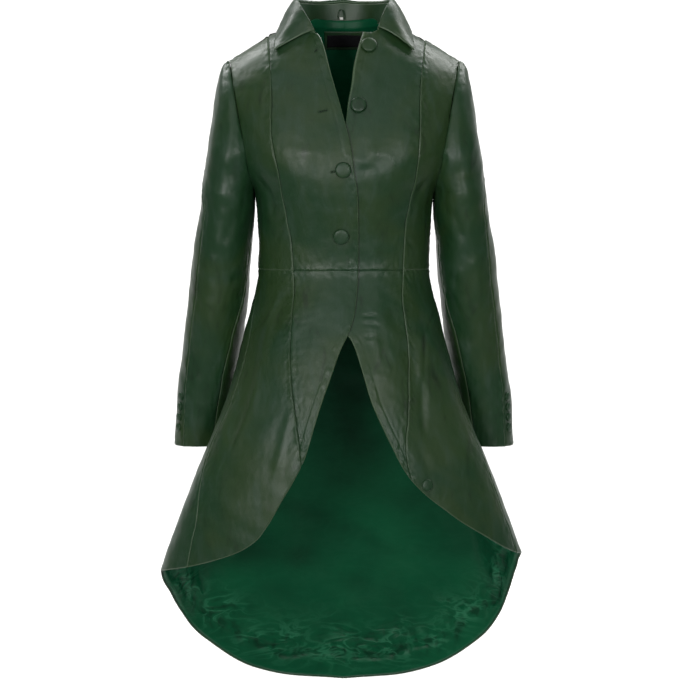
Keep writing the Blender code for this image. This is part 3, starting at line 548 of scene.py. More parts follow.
def leather_finish():
    """Smooth waxed hide: cloudy green between olive and a cool bloom, with painted shade in its valleys,
    creases and seam grooves, a pale edge line that is partly rubbed wear and partly painted highlight, and a
    fine grain."""
    hide = Finish("leather")
    colours = LEATHER_COLOURS
    clouds, grain = hide.noise(8, 3, 0.55, 0.5), hide.noise(1100, 2)
    drawn = hide.node("VectorMath", {"operation": "MULTIPLY"}, {0: hide.place, 1: (1.0, 1.0, 0.3)})
    mottle = hide.noise(42, 4, 0.6, 0.8, drawn)
    height, away = hide.attribute("height"), hide.attribute("edge")
    olive = hide.step(clouds + hide.attribute("olive"), 0.40, 0.66)
    tone = hide.blend(olive, colours["green"], colours["olive"])
    tone = hide.blend(hide.step(mottle, 0.46, 0.76) * 0.45, tone, colours["cool"])
    tone = hide.blend((1 - hide.step(mottle, 0.22, 0.44)) * 0.45, tone, colours["dark_and_painted_shade"])
    # Painted shade: darker where the height is low, in creases, seam grooves and the painted shade bands.
    tone = hide.blend((1 - hide.step(height, -0.0034, -0.0008)) * 0.50, tone, colours["dark_and_painted_shade"])
    # The pale edge line: partly rubbed wear, partly a painted highlight along rolled edges and seams.
    wear_and_edge_highlight = (1 - hide.step(away, 0.0009, 0.0020)) * hide.step(away, 0.0001, 0.0005)
    tone = hide.blend(wear_and_edge_highlight * (0.14 + 0.62 * mottle), tone, colours["rubbed_and_edge_highlight"])
    shine = 0.30 + 0.16 * mottle + 0.08 * clouds
    pores = hide.bump(grain, 0.00012, 0.5)
    wrinkles = hide.bump(hide.noise(190, 3, 0.6, 0.4), 0.00035, 0.45, pores)
    return hide.close(tone, shine, wrinkles, 0.32)


leather = leather_finish()


def attach(piece, node=None):
    """Hangs every piece from the root body, and hides the imported part of the node that it stands for."""
    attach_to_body(piece, "root")
    if node:
        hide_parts(node)


def cut_size(points):
    """The flat piece's width, length and area: lengths along the grid, and its squares summed."""
    away = edge_distances(points)
    width, length = float(away["left"][:, -1].max()), float(away["top"][-1].max())
    across, down = points[:-1, 1:] - points[1:, :-1], points[1:, 1:] - points[:-1, :-1]
    area = float(np.linalg.norm(np.cross(across, down), axis=-1).sum() / 2)
    return round(width, 3), round(length, 3), round(min(area, width * length), 4)


def declare(piece, node, points):
    """A cut piece is attached like any other; its flat width, length and area are worked out but not used."""
    attach(piece, node)
    width, length, area = cut_size(points)


def add_leather(node, outer, inner, nearest, height, olive, measured=None):
    """A cut piece of leather between two grids, with what its finish reads at each point."""
    tone = np.full(height.shape, olive)
    piece = add_wall(f"{node}_leather", outer, inner, leather, edge=nearest, height=height, olive=tone)
    declare(piece, node, outer if measured is None else measured)


def lap_shade(theta, z):
    """A painted shadow on the left front beside the right front's edge, which lies over it, given as a low
    height that the finish colours dark.
    """
    in_front = section(z, "half") * np.sin(-np.radians(column(HEM["right"], "degrees", z)))
    edge_x = np.where(z > WAIST_Z, column(FRONT_EDGE["right"], "x", z), in_front)
    beside = (section(z, "half") * np.sin(theta) - edge_x) / LAP_SHADE_WIDTH
    down = ease((LAP_SHADE_TOP - z) / LAP_SHADE_FADE)
    return LAP_SHADE * bell(beside) * down * (np.cos(theta) > 0)


def add_panel(node, patch, seams, olive=0.0, lap=no_lap, faced=()):
    """A leather panel over a patch of (theta, z). Its left edge is the princess seam where it is faced."""
    theta, z = patch[..., 0], patch[..., 1]
    base, swell = lap(theta, z), relief(theta, z)
    lying = body(theta, z, base)
    rise, nearest = sewn(lying, seams, faced)
    outer = inset(body(theta, z, base + swell + rise), SEAM_GAP, seams)
    inner = inset(body(theta, z, base + swell - LEATHER), SEAM_GAP, seams)
    height = swell + rise
    # Painted shade: a dark band beside the princess seam, given as a lower height for the finish.
    if faced:
        height = height - SEAM_SHADE * bell(edge_distances(lying)["left"] / SEAM_SHADE_WIDTH)
    if lap is left_lap:
        # Painted shadow of the right front's edge on the left front, given as a lower height.
        height = height - lap_shade(theta, z)
        # Painted highlight: the pale edge line is widened along the left front's open edge above the lap.
        nearest = nearest * (1 - OPEN_RUB_AND_HIGHLIGHT * ease((z - LAP_SHADE_TOP) / OPEN_RUB_AND_HIGHLIGHT_FADE))
    add_leather(node, outer, inner, nearest, height, olive)


def princess(side, v):
    """The bodice's princess seam from the shoulder (0) to the waist (1)."""
    seam = PRINCESS[side]
    z = seam["z"][0] + (WAIST_Z - seam["z"][0]) * v**PRINCESS_CROWD
    x = column(seam, "x", z)
    z[0] = shoulder_line(x[0])
    return edge(angle_at(x, z), z)


def front_opening(side, v):
    """The front edge from the neck (0) to the waist (1)."""
    seam = FRONT_EDGE[side]
    z = seam["z"][0] + (WAIST_Z - seam["z"][0]) * v**OPENING_CROWD
    return edge(angle_at(column(seam, "x", z), z), z)


def neck_line(side, t):
    """The front neckline from the front edge (0) to the neck point at the shoulder (1), slightly hollow."""
    start = FRONT_EDGE[side]
    x = start["x"][0] + (SIDES[side] * NECK_HALF - start["x"][0]) * t
    z = start["z"][0] + (shoulder_line(NECK_HALF) - start["z"][0]) * t - NECK_HOLLOW * np.sin(np.pi * t)
    return edge(angle_at(x, z), z)


def shoulder_edge(x):
    z = shoulder_line(x)
    return edge(angle_at(x, z), z)


def across(start, end, u):
    """A straight line of angles at the waist."""
    return edge(start + (end - start) * u, WAIST_Z)


def front_patch(side):
    u, v = samples(FRONT_WIDTH, FRONT_STEP, FRONT_SHOULDER_SHARE), samples(FRONT_LENGTH, FRONT_STEP)
    seam, opening = princess(side, v), front_opening(side, v)
    start = np.sin(seam[0, 0]) * section(seam[0, 1], "half")
    along = start + (SIDES[side] * NECK_HALF - start) * np.clip(u / FRONT_SHOULDER_SHARE, 0, 1)
    neck = neck_line(side, np.clip((1 - u) / (1 - FRONT_SHOULDER_SHARE), 0, 1))
    top = np.where((u <= FRONT_SHOULDER_SHARE)[:, None], shoulder_edge(along), neck)
    return coons(seam, opening, top, across(seam[-1, 0], opening[-1, 0], u), u, v)


for side in SIDES:
    add_panel(f"front_{side}", front_patch(side), ("left", "top", "bottom"), olive=0.02,
              lap=LAPS[side], faced=("right",))

# Side fronts
# The panels between the princess seams and the armholes, cut from the same leather and eased over the bust.
# They meet the backs at the shoulder and the side seams.
UNDERARM_HALF, UNDERARM_Z = 0.142, -0.246
ARM_SHARE, SIDE_FRONT_WIDTH = 9 / 14, 0.10
ARMHOLE_DROP = 0.0006


def armhole_height(t):
    """Height along the armhole from the shoulder tip (0) to the underarm (1)."""
    top = SHOULDER_Z - ARMHOLE_DROP
    return top + (UNDERARM_Z - top) * (1 - np.cos(np.pi * t)) / 2


def armhole_distance(z):
    """The armhole lies in a plane that leans out from the underarm to the shoulder tip."""
    t = (SHOULDER_Z - z) / (SHOULDER_Z - UNDERARM_Z)
    return SHOULDER_HALF + t * (UNDERARM_HALF - SHOULDER_HALF)


def arm_and_side(sign, v, behind):
    """The armhole from the shoulder tip to the underarm, then the bodice's side seam down to the waist."""
    arm = armhole_height(np.clip(v / ARM_SHARE, 0, 1))
    down = UNDERARM_Z + (WAIST_Z - UNDERARM_Z) * np.clip((v - ARM_SHARE) / (1 - ARM_SHARE), 0, 1)
    on_arm = v < ARM_SHARE
    theta = np.where(on_arm, angle_at(armhole_distance(arm), arm), np.pi / 2)
    return edge(sign * (np.pi - theta if behind else theta), np.where(on_arm, arm, down))


def side_front_patch(side):
    u, v = samples(SIDE_FRONT_WIDTH, FRONT_STEP), samples(FRONT_LENGTH, FRONT_STEP, ARM_SHARE)
    outer, seam = arm_and_side(SIDES[side], v, False), princess(side, v)
    start = np.sin(seam[0, 0]) * section(seam[0, 1], "half")
    tip = SIDES[side] * SHOULDER_HALF
    top = shoulder_edge(tip + (start - tip) * u)
    top[0], top[-1] = outer[0], seam[0]
    return coons(outer, seam, top, across(outer[-1, 0], seam[-1, 0], u), u, v)


for side in SIDES:
    add_panel(f"side_front_{side}", side_front_patch(side), ("left", "right", "top", "bottom"),
              olive=0.10)

# Backs
# Two plain panels from the neck and shoulders to the waist, sewn together at centre back.
NECK_BACK_Z = 0.020
BACK_CROWD = 1.20
BACK_STEP, BACK_WIDTH, BACK_LENGTH, BACK_SHOULDER_SHARE = 0.0043, 0.22, 0.40, 0.5


def back_neck_line(sign, t):
    """The back neckline from the neck point (0) to centre back (1)."""
    x = sign * NECK_HALF * (1 - t)
    z = NECK_BACK_Z + (shoulder_line(NECK_HALF) - NECK_BACK_Z) * (1 - t) ** 2
    return edge(sign * np.pi - angle_at(x, z), z)


def back_patch(side, step=BACK_STEP):
    sign = SIDES[side]
    u, v = samples(BACK_WIDTH, step, BACK_SHOULDER_SHARE), samples(BACK_LENGTH, step, ARM_SHARE)
    outer = arm_and_side(sign, v, True)
    middle = edge(sign * np.pi, NECK_BACK_Z + (WAIST_Z - NECK_BACK_Z) * v**BACK_CROWD)
    shoulder = shoulder_edge(sign * (SHOULDER_HALF + (NECK_HALF - SHOULDER_HALF) * np.clip(2 * u, 0, 1)))
    shoulder[:, 0] = sign * np.pi - shoulder[:, 0]
    shoulder[0] = outer[0]
    neck = back_neck_line(sign, np.clip(2 * u - 1, 0, 1))
    top = np.where((u <= BACK_SHOULDER_SHARE)[:, None], shoulder, neck)
    return coons(outer, middle, top, across(outer[-1, 0], sign * np.pi, u), u, v)


for side in SIDES:
    add_panel(f"back_{side}", back_patch(side), ("left", "right", "top", "bottom"),
              olive=0.04)

# Skirt fronts
# The narrow panels below the waist seam, whose front edges are cut away in a long curve that tapers to a
# point at the princess seam.
SKIRT_FRONT_WIDTH, SKIRT_FRONT_LENGTH = 0.12, 0.33
SKIRT_POINT, SKIRT_POINT_TURN = 0.004, 0.012
SKIRT_LAST = 14 / 15
SKIRT_PRINCESS = {
    "right": table(
        "z x",
        (-0.366, -0.0795), (-0.398, -0.0785), (-0.440, -0.081), (-0.498, -0.084), (-0.552, -0.081),
        (-0.590, -0.076), (-0.641, -0.0688), (-0.665, -0.067),
    ),
    "left": table(
        "z x",
        (-0.366, 0.0924), (-0.404, 0.091), (-0.440, 0.095), (-0.478, 0.102), (-0.512, 0.104),
        (-0.560, 0.102), (-0.600, 0.099), (-0.635, 0.095), (-0.690, 0.103),
    ),
}


def hem_height(side, theta):
    return column(HEM[side], "z", np.degrees(np.abs(theta)), "degrees")


def skirt_seam(side, v):
    """The skirt's princess seam; its last stretch runs straight to the point of the cut-away front."""
    seam, hem, sign = SKIRT_PRINCESS[side], HEM[side], SIDES[side]
    end = seam["z"][-1]
    z = WAIST_Z + (end - WAIST_Z) * v
    theta = angle_at(column(seam, "x", z), z)
    last_z = WAIST_Z + (end - WAIST_Z) * SKIRT_LAST
    last = angle_at(column(seam, "x", last_z), last_z)
    point = sign * (np.radians(column(hem, "degrees", end + SKIRT_POINT)) + SKIRT_POINT_TURN)
    t = np.clip((v - SKIRT_LAST) / (1 - SKIRT_LAST), 0, 1)
    return edge(np.where(v > SKIRT_LAST, last + (point - last) * t, theta), z)


def skirt_front_patch(side):
    u, v = samples(SKIRT_FRONT_WIDTH, FRONT_STEP), samples(SKIRT_FRONT_LENGTH, FRONT_STEP)
    sign, hem, seam = SIDES[side], HEM[side], skirt_seam(side, v)
    z = WAIST_Z + (seam[-1, 1] + SKIRT_POINT - WAIST_Z) * v
    cut = edge(sign * np.radians(column(hem, "degrees", z)), z)
    bottom = seam[-1] + (cut[-1] - seam[-1]) * u[:, None]
    return coons(seam, cut, across(seam[0, 0], cut[0, 0], u), bottom, u, v)


for side in SIDES:
    add_panel(f"skirt_front_{side}", skirt_front_patch(side), ("left", "top"),
              lap=LAPS[side], faced=("right",))

# Skirt sides
# The flared panels over the hips, from the princess seam round to the side seam, with a long curved hem.
SKIRT_SIDE_WIDTH, SKIRT_SIDE_LENGTH = 0.22, 0.49
SIDE_SEAM = {
    "right": table(
        "z degrees",
        (-0.366, 90), (-0.400, 80), (-0.440, 72), (-0.500, 70), (-0.576, 72), (-0.640, 76),
        (-0.700, 70), (-0.760, 62), (-0.850, 58),
    ),
    "left": table(
        "z degrees",
        (-0.366, 90), (-0.400, 84), (-0.440, 80), (-0.500, 78), (-0.576, 78), (-0.640, 78),
        (-0.700, 77), (-0.760, 76), (-0.850, 76),
    ),
}


def side_seam(side, v):
    seam = SIDE_SEAM[side]
    end = hem_height(side, np.radians(seam["degrees"][-1]))
    z = WAIST_Z + (end - WAIST_Z) * v
    return edge(SIDES[side] * np.radians(column(seam, "degrees", z)), z)


def skirt_side_patch(side):
    u, v = samples(SKIRT_SIDE_WIDTH, FRONT_STEP), samples(SKIRT_SIDE_LENGTH, FRONT_STEP)
    outer, inner = side_seam(side, v), skirt_seam(side, v)
    theta = outer[-1, 0] + (inner[-1, 0] - outer[-1, 0]) * u
    bottom = edge(theta, hem_height(side, theta))
    bottom[-1] = inner[-1]
    return coons(outer, inner, across(outer[0, 0], inner[0, 0], u), bottom, u, v)


for side in SIDES:
    add_panel(f"skirt_side_{side}", skirt_side_patch(side), ("left", "right", "top"),
              olive=0.05)

# Tails
# Two long flared back panels from the waist to the rounded hem, sewn together at centre back.
TAIL_WIDTH, TAIL_LENGTH = 0.42, 0.74


def tail_patch(side, v, step=BACK_STEP, hem_rise=0.0):
    sign = SIDES[side]
    u = samples(TAIL_WIDTH, step)
    outer = side_seam(side, v)
    middle = edge(sign * np.pi, WAIST_Z + (hem_height(side, np.pi) - WAIST_Z) * v)
    theta = outer[-1, 0] + (sign * np.pi - outer[-1, 0]) * u
    bottom = edge(theta, hem_height(side, theta))
    patch = coons(outer, middle, across(outer[0, 0], sign * np.pi, u), bottom, u, v)
    patch[..., 1] += hem_rise * v[:, None] ** 4
    return patch


for side in SIDES:
    add_panel(f"tail_{side}", tail_patch(side, samples(TAIL_LENGTH, BACK_STEP)), ("left", "right", "top"),
              olive=0.02)

# Linings
# Green satin inside the back and the tail. The tail's lining is caught down a little above the hem, so it
# blouses over a groove, with crumples above it and a smooth band below.
SATIN, LAYER_GAP, LINING_RISE = 0.0010, 0.0004, 0.002
LINING_STEP, TAIL_LINING_STEP, HEM_STEP = 0.0052, 0.0040, 0.0026
HEM_LENGTH, HEM_SHARE, HIDDEN_PUFF = 0.15, 0.80, 0.4
GROOVE_SIDE, GROOVE_BACK, GROOVE_WIDTH, GROOVE_WAVER = 0.026, 0.044, 0.0085, 0.005
TROUGH, TROUGH_LESS = 0.85, 0.55
BLOUSE, BLOUSE_EASE, BLOUSE_START, BLOUSE_FADE = 0.0046, 0.022, 0.3, 0.12
HEM_BAND, HEM_BAND_GAP, HEM_BAND_EASE, HEM_BAND_LOW, HEM_CLOSED = 0.0024, 0.002, 0.014, 0.004, 0.003
FOLD, SMALL_FOLD, FOLD_AT, FOLD_REACH = 0.0026, 0.0006, 0.014, 0.034
LEVEL_FOLD, LEVEL_AT, LEVEL_REACH, PINCH, PINCH_REACH = 0.0012, 0.006, 0.020, 0.0016, 0.016
CRUMPLE_AT, CRUMPLE_REACH, CRUMPLE_LEAST, BACK_CRUMPLE = 0.012, 0.036, 0.05, 0.06
BACK_SWELL, TAIL_SWELL, SURROUNDINGS = 0.0006, 0.0010, 14
NECK_RISE, NECK_FLAT, NECK_EASE = 0.0135, 0.066, 0.022
NECK_LEANS = table("x lean", (0.0, -0.146), (0.050, 0.0), (0.070, 0.10))
SATIN_COLOURS = {"green": (5, 68, 42), "light": (8, 76, 47), "dark_and_painted_shade": (1, 26, 15), "painted_glint": (52, 120, 88)}


def satin_finish():
    """Lustrous green satin: a soft cloud in its colour and a fine diagonal weave, with painted shade in its
    hollows and sharp little folds that have painted shade beside them and a painted glint on top where the
    cloth is crumpled."""
    cloth = Finish("satin")
    colours = SATIN_COLOURS
    clouds, height = cloth.noise(9, 3, 0.5, 0.3), cloth.attribute("height")
    crumple = cloth.attribute("crumple")
    level = cloth.node("VectorMath", {"operation": "MULTIPLY"}, {0: cloth.place, 1: (0.6, 0.6, 1.4)})
    away = 2 * cloth.noise(30, 3, 0.5, 1.2, level) - 1
    ridge = 1 - away.math("ABSOLUTE", away)
    tone = cloth.blend(cloth.step(clouds, 0.35, 0.75), colours["green"], colours["light"])
    # Painted shade in the hollows and beside the crumpled folds; painted glint on the folds' ridges.
    tone = cloth.blend((1 - cloth.step(height, -0.0013, 0.0002)) * 0.50, tone, colours["dark_and_painted_shade"])
    tone = cloth.blend((1 - cloth.step(ridge, 0.50, 0.84)) * crumple * 0.55, tone, colours["dark_and_painted_shade"])
    tone = cloth.blend(cloth.step(ridge, 0.86, 0.99) * crumple * 0.50, tone, colours["painted_glint"])
    weave = cloth.node("TexWave", {"bands_direction": "DIAGONAL"}, {"Vector": cloth.place, "Scale": 330.0})
    wisps = cloth.bump(cloth.noise(120, 3, 0.6, 1.0), 0.0004, 0.35, cloth.bump(weave, 0.00005, 0.4))
    folds = cloth.bump(ridge * crumple, 0.0035, 0.8, wisps)
    return cloth.close(tone, 0.34 + 0.08 * clouds, folds, 0.10)


satin = satin_finish()


def whole_back(patch_of):
    """The left and right patches joined at centre back into one."""
    left, right = patch_of("left"), patch_of("right")
    right[..., 0] += 2 * np.pi
    return np.concatenate([left, right[:, -2::-1]], axis=1)


def hollows(puff):
    """How high each point of a grid stands over the average of its surroundings."""
    around = puff
    for _ in range(SURROUNDINGS):
        wide = np.pad(around, 1, mode="edge")
        around = (wide[:-2, 1:-1] + wide[2:, 1:-1] + wide[1:-1, :-2] + wide[1:-1, 2:]) / 4
    return puff - around


def neck_rise(points):
    """How far up the lining runs inside the stand at the back of the neck, and how that leans."""
    aside = np.abs(points[:, 0])
    rise = NECK_RISE * ease((NECK_FLAT - aside) / NECK_EASE) * (points[:, 1] > 0)
    lean = column(NECK_LEANS, "lean", aside, "x")
    return rise[:, None] * np.stack([0 * lean, lean, 0 * lean + 1], -1)


def add_lining(node, patch, seams, puff, crumple, stand_rows=0):
    """A satin shell inside the leather; puff lifts its face off the leather, towards the hollow, and crumple
    says how crumpled it is. The back's runs on up the inside of the collar's stand by some rows."""
    theta, z = patch[..., 0], patch[..., 1]
    face = relief(theta, z) - LEATHER - LAYER_GAP
    outer = inset(body(theta, z, face - HIDDEN_PUFF * puff), SEAM_GAP, seams)
    inner = inset(body(theta, z, face - SATIN - puff), SEAM_GAP, seams)
    share = np.linspace(1, 0, stand_rows + 1)[:-1, None, None]
    outer, inner = (np.concatenate([grid[:1] + share * neck_rise(outer[0]), grid]) for grid in (outer, inner))
    rows = np.maximum(np.arange(-stand_rows, len(puff)), 0)
    # The satin's colour reads the hollows as painted shade.
    piece = add_wall(f"{node}_satin", outer, inner, satin, height=hollows(puff)[rows], crumple=crumple[rows])
    declare(piece, node, inner)


def tail_puff(points, hem_away, theta):
    """How far the tail's lining stands off the leather, and how crumpled it is: bloused above the groove,
    which lies further from the hem behind than at the sides, with crumples that fade upwards, and a low band
    at the hem."""
    behind = np.cos(theta) ** 2 * (np.cos(theta) < 0)
    groove = GROOVE_SIDE + (GROOVE_BACK - GROOVE_SIDE) * behind + GROOVE_WAVER * waves(points, 0.11, 21)
    above = hem_away - groove
    blouse = BLOUSE * ease(above / BLOUSE_EASE + BLOUSE_START) * np.exp(-np.clip(above, 0, 1) / BLOUSE_FADE)
    band = HEM_BAND * ease((groove - HEM_BAND_GAP - hem_away) / HEM_BAND_EASE) * ease(hem_away / HEM_BAND_LOW)
    near = bell((above - FOLD_AT) / FOLD_REACH)
    patchy = ease(0.35 + 0.6 * waves(points, 0.09, 24))
    folds = np.abs(waves(points * (1.0, 1.0, 0.5), 0.034, 22)) * FOLD + waves(points, 0.017, 23) * SMALL_FOLD
    level = behind * bell((above - LEVEL_AT) / LEVEL_REACH)
    level = level * np.abs(waves(points * (0.3, 0.3, 1.0), 0.014, 28))
    pinch = PINCH * waves(points * (1.0, 1.0, 0.3), 0.020, 25) * bell(above / PINCH_REACH)
    trough = 1 - (TROUGH - TROUGH_LESS * behind) * bell(above / GROOVE_WIDTH)
    swell = TAIL_SWELL * (1 + waves(points, 0.12, 26))
    total = (blouse + band + near * patchy * folds + swell) * trough + pinch + LEVEL_FOLD * level
    # crumple also sets how much painted shade and glint the satin's folds get.
    crumple = bell((above - CRUMPLE_AT) / CRUMPLE_REACH) * (0.35 + 0.65 * patchy) + CRUMPLE_LEAST
    return np.maximum(total, 0.0) * ease(hem_away / HEM_CLOSED), crumple


def tail_lining_patch(side):
    fine = np.linspace(HEM_SHARE, 1, int(HEM_LENGTH / HEM_STEP))
    v = np.unique(np.concatenate([samples(TAIL_LENGTH, 2 * TAIL_LINING_STEP), fine]))
    return tail_patch(side, v, TAIL_LINING_STEP, LINING_RISE)


def back_puff(points):
    """How far the back's lining stands off the leather."""
    return BACK_SWELL * (1 + waves(points, 0.07, 27))


patch = whole_back(lambda side: back_patch(side, LINING_STEP))
puff = back_puff(body(patch[..., 0], patch[..., 1]))
calm = np.full(puff.shape, BACK_CRUMPLE)
add_lining("lining_back", patch, ("left", "right", "bottom"), puff, calm, 4)
patch = whole_back(tail_lining_patch)
points = body(patch[..., 0], patch[..., 1])
puff, crumple = tail_puff(points, edge_distances(points)["bottom"], patch[..., 0])
add_lining("lining_tail", patch, ("left", "right", "top"), puff, crumple)

# Sleeves
# Each sleeve is an upper and an under piece joined by an elbow seam and a front seam. The elbow seam ends in
# a vent at the cuff.
BICEPS_DEPTH, CAP_LOW, CAP_FADE = 0.062, 0.62, 0.36
CUFF_Z = -0.656
SLEEVE_GAP = 0.0005
SLEEVE_STEP, SLEEVE_LENGTH, UPPER_WIDTH, UNDER_WIDTH = 0.0031, 0.62, 0.17, 0.15
SLEEVE_ROWS, ARM_ROWS, UNDER_ROW = 19, 9, 4
SLEEVE_ARM_SHARE, UNDER_START = ARM_ROWS / SLEEVE_ROWS, UNDER_ROW / SLEEVE_ROWS
UNDERARM_ROUND = 0.030
UNDER_TOP_TURN = 0.06
VENT_TOP, VENT_LIP = -0.530, 0.0013
VENT_EDGE, VENT_FADE, VENT_RIPPLE = 0.0045, 0.020, 0.0027
SLEEVE_TONES = {"upper": -0.02, "under": 0.09}
SLEEVE_RADIUS = 0.055
SLEEVE_SWELL = ((0.00065, 0.085, 31), (0.00030, 0.034, 32), (0.00010, 0.013, 33))
SLEEVE = table(
    "z outer inner depth middle",
    (-0.036, 0.1835, 0.182, 0.0735, 0.000),
    (-0.041, 0.1905, 0.181, 0.0735, 0.000),
    (-0.050, 0.1955, 0.179, 0.0735, 0.000),
    (-0.080, 0.2015, 0.173, 0.0735, 0.000),
    (-0.128, 0.2100, 0.164, 0.0735, 0.000),
    (-0.192, 0.2190, 0.152, 0.0735, 0.000),
    (-0.246, 0.2275, 0.142, 0.0690, -0.002),
    (-0.272, 0.2300, 0.1425, 0.0660, 0.002),
    (-0.320, 0.2380, 0.147, 0.0625, 0.011),
    (-0.368, 0.2450, 0.150, 0.060, 0.020),
    (-0.416, 0.2510, 0.155, 0.058, 0.030),
    (-0.496, 0.2610, 0.166, 0.053, 0.048),
    (-0.576, 0.2720, 0.181, 0.047, 0.062),
    (-0.656, 0.2785, 0.1950, 0.042, 0.074),
)
ELBOW_SEAM = table(
    "z degrees",
    (-0.122, -100), (-0.160, -60), (-0.200, -12), (-0.240, 24), (-0.277, 40), (-0.416, 44),
    (-0.480, 42), (-0.522, 45), (-0.595, 50), (-0.656, 54),
)
FRONT_SEAM = table(
    "z degrees",
    (-0.246, 180), (-0.300, 168), (-0.360, 158), (-0.422, 147), (-0.477, 130), (-0.547, 123), (-0.656, 124),
)
SLEEVE_CREASES = (
    (118, -0.262, 96, -0.330, 0.003, 0.0080, 0.0015),
    (140, -0.250, 120, -0.300, 0.003, 0.0070, 0.0014),
    (70, -0.120, 84, -0.210, 0.004, 0.0120, 0.0012),
    (100, -0.150, 104, -0.250, 0.003, 0.0120, 0.0016),
    (60, -0.330, 96, -0.352, 0.002, 0.0090, 0.0010),
    (110, -0.388, 140, -0.372, 0.002, 0.0070, 0.0012),
    (118, -0.420, 146, -0.410, -0.002, 0.0070, 0.0011),
    (60, -0.420, 68, -0.560, 0.003, 0.0140, 0.0012),
    (92, -0.440, 98, -0.600, -0.003, 0.0160, 0.0014),
    (-10, -0.330, -50, -0.352, 0.002, 0.0090, 0.0014),
    (-20, -0.372, -66, -0.384, -0.002, 0.0090, 0.0016),
    (-4, -0.410, -44, -0.404, 0.002, 0.0080, 0.0012),
    (-60, -0.260, -84, -0.350, 0.003, 0.0110, 0.0014),
    (-40, -0.460, -52, -0.600, 0.003, 0.0150, 0.0013),
    (10, -0.160, 4, -0.300, 0.004, 0.0150, 0.0012),
)


def sleeve_section(z):
    """The sleeve's section at each height: its depth, middle, inner side and the angle where it meets the
    armhole. Above the underarm it is the arc that springs from the armhole's two edges."""
    arm = armhole_distance(np.maximum(z, UNDERARM_Z))
    angle = angle_at(arm, z)
    front, back = body(angle, z)[..., 1], body(np.pi - angle, z)[..., 1]
    t = np.clip((SHOULDER_Z - z) / (SHOULDER_Z - UNDERARM_Z), 0, 1)
    spread = (back - front) / 2
    cap = np.hypot(spread, BICEPS_DEPTH * t**1.5)
    low = np.clip((t - CAP_LOW) / CAP_FADE, 0, 1)
    low = low**3 * (6 * low**2 - 15 * low + 10)
    depth = cap + (column(SLEEVE, "depth", z) - cap) * low
    middle = (back + front) / 2 * (1 - low) + column(SLEEVE, "middle", z) * low
    inner = column(SLEEVE, "inner", z)
    inner = inner + (arm - inner) * ease((z - UNDERARM_Z) / UNDERARM_ROUND)
    limit = np.pi - np.arcsin(np.clip(spread / np.maximum(cap, 1e-9), 0, 1))
    return depth, middle, inner, np.where(z > UNDERARM_Z + 1e-6, limit, np.pi)


def sleeve(sign, phi, z):
    """The sleeve's surface. phi is 0 on the outer side, 90 degrees in front and 180 on the inner side."""
    outer = column(SLEEVE, "outer", z)
    depth, middle, inner, limit = sleeve_section(z)
    x = outer - (outer - inner) / (1 - np.cos(limit)) * (1 - np.cos(phi))
    return np.stack(np.broadcast_arrays(sign * x, middle - depth * np.sin(phi), z), -1)


def sleeve_normal(sign, phi, z):
    """The sleeve's outward normal, also at its very top."""
    z = np.minimum(z, SLEEVE["z"][0] - 2 * NORMAL_STEP)
    return -sign * surface_normal(lambda angle, height: sleeve(sign, angle, height), phi, z)


def sleeve_relief(sign, phi, z):
    """The sleeve's creases and swell; the two sleeves differ in their swell."""
    points = sleeve(sign, phi, z) * (sign, 1.0, 1.0) + (0.5 * sign, 0, 0)
    return creased(layered(points, SLEEVE_SWELL), SLEEVE_CREASES, phi, z, lambda height: SLEEVE_RADIUS, sign)


def sleeve_patches():
    """The upper and the under sleeve as grids of (phi, z)."""
    v = samples(SLEEVE_LENGTH, SLEEVE_STEP, SLEEVE_ARM_SHARE, UNDER_START)
    arm = armhole_height(np.clip(v / SLEEVE_ARM_SHARE, 0, 1))
    below = np.clip((v - SLEEVE_ARM_SHARE) / (1 - SLEEVE_ARM_SHARE), 0, 1)
    z = np.where(v < SLEEVE_ARM_SHARE, arm, UNDERARM_Z + (CUFF_Z - UNDERARM_Z) * below)
    limit = sleeve_section(z)[3]
    row = v * SLEEVE_ROWS
    elbow = np.radians(column(ELBOW_SEAM, "degrees", z))
    first, second = (armhole_height(k / ARM_ROWS) for k in (UNDER_ROW, UNDER_ROW + 1))
    start = -sleeve_section(first)[3] + UNDER_TOP_TURN
    end = np.radians(column(ELBOW_SEAM, "degrees", second))
    turn = np.clip((first - z) / (first - second), 0, 1)
    elbow = np.where(row < UNDER_ROW + 1, start + (end - start) * turn, elbow)
    elbow = np.where(row < UNDER_ROW, -limit + UNDER_TOP_TURN * ease(row - UNDER_ROW + 1), elbow)
    front = np.where(z > UNDERARM_Z, limit, np.radians(column(FRONT_SEAM, "degrees", z)))
    wrapped = np.where(z > UNDERARM_Z, -limit, front - 2 * np.pi)
    u = samples(UPPER_WIDTH, SLEEVE_STEP)
    lower = v >= UNDER_START - 1e-9
    upper = edge((1 - u) * elbow[:, None] + u * front[:, None], z[:, None])
    u = samples(UNDER_WIDTH, SLEEVE_STEP)
    under = edge((1 - u) * wrapped[lower, None] + u * elbow[lower, None], z[lower, None])
    return upper, under


for side, sign in SIDES.items():
    for name, patch in zip(("upper", "under"), sleeve_patches()):
        phi, z = patch[..., 0], patch[..., 1]
        surface, normal = sleeve(sign, phi, z), sleeve_normal(sign, phi, z)
        seams = ("left", "right", "top")
        rise, nearest = sewn(surface, seams)
        swell = sleeve_relief(sign, phi, z)
        if name == "upper":
            open_part = ease((VENT_TOP - z) / VENT_FADE) * bell(edge_distances(surface)["left"] / VENT_EDGE)
            swell = swell + VENT_LIP * open_part * (1 + 0.5 * np.sin(z / VENT_RIPPLE))
        outer = inset(surface + (swell + rise)[..., None] * normal, SLEEVE_GAP, seams)
        inner = inset(surface + (swell - LEATHER)[..., None] * normal, SLEEVE_GAP, seams)
        add_leather(f"sleeve_{name}_{side}", outer, inner, nearest, swell + rise, SLEEVE_TONES[name])

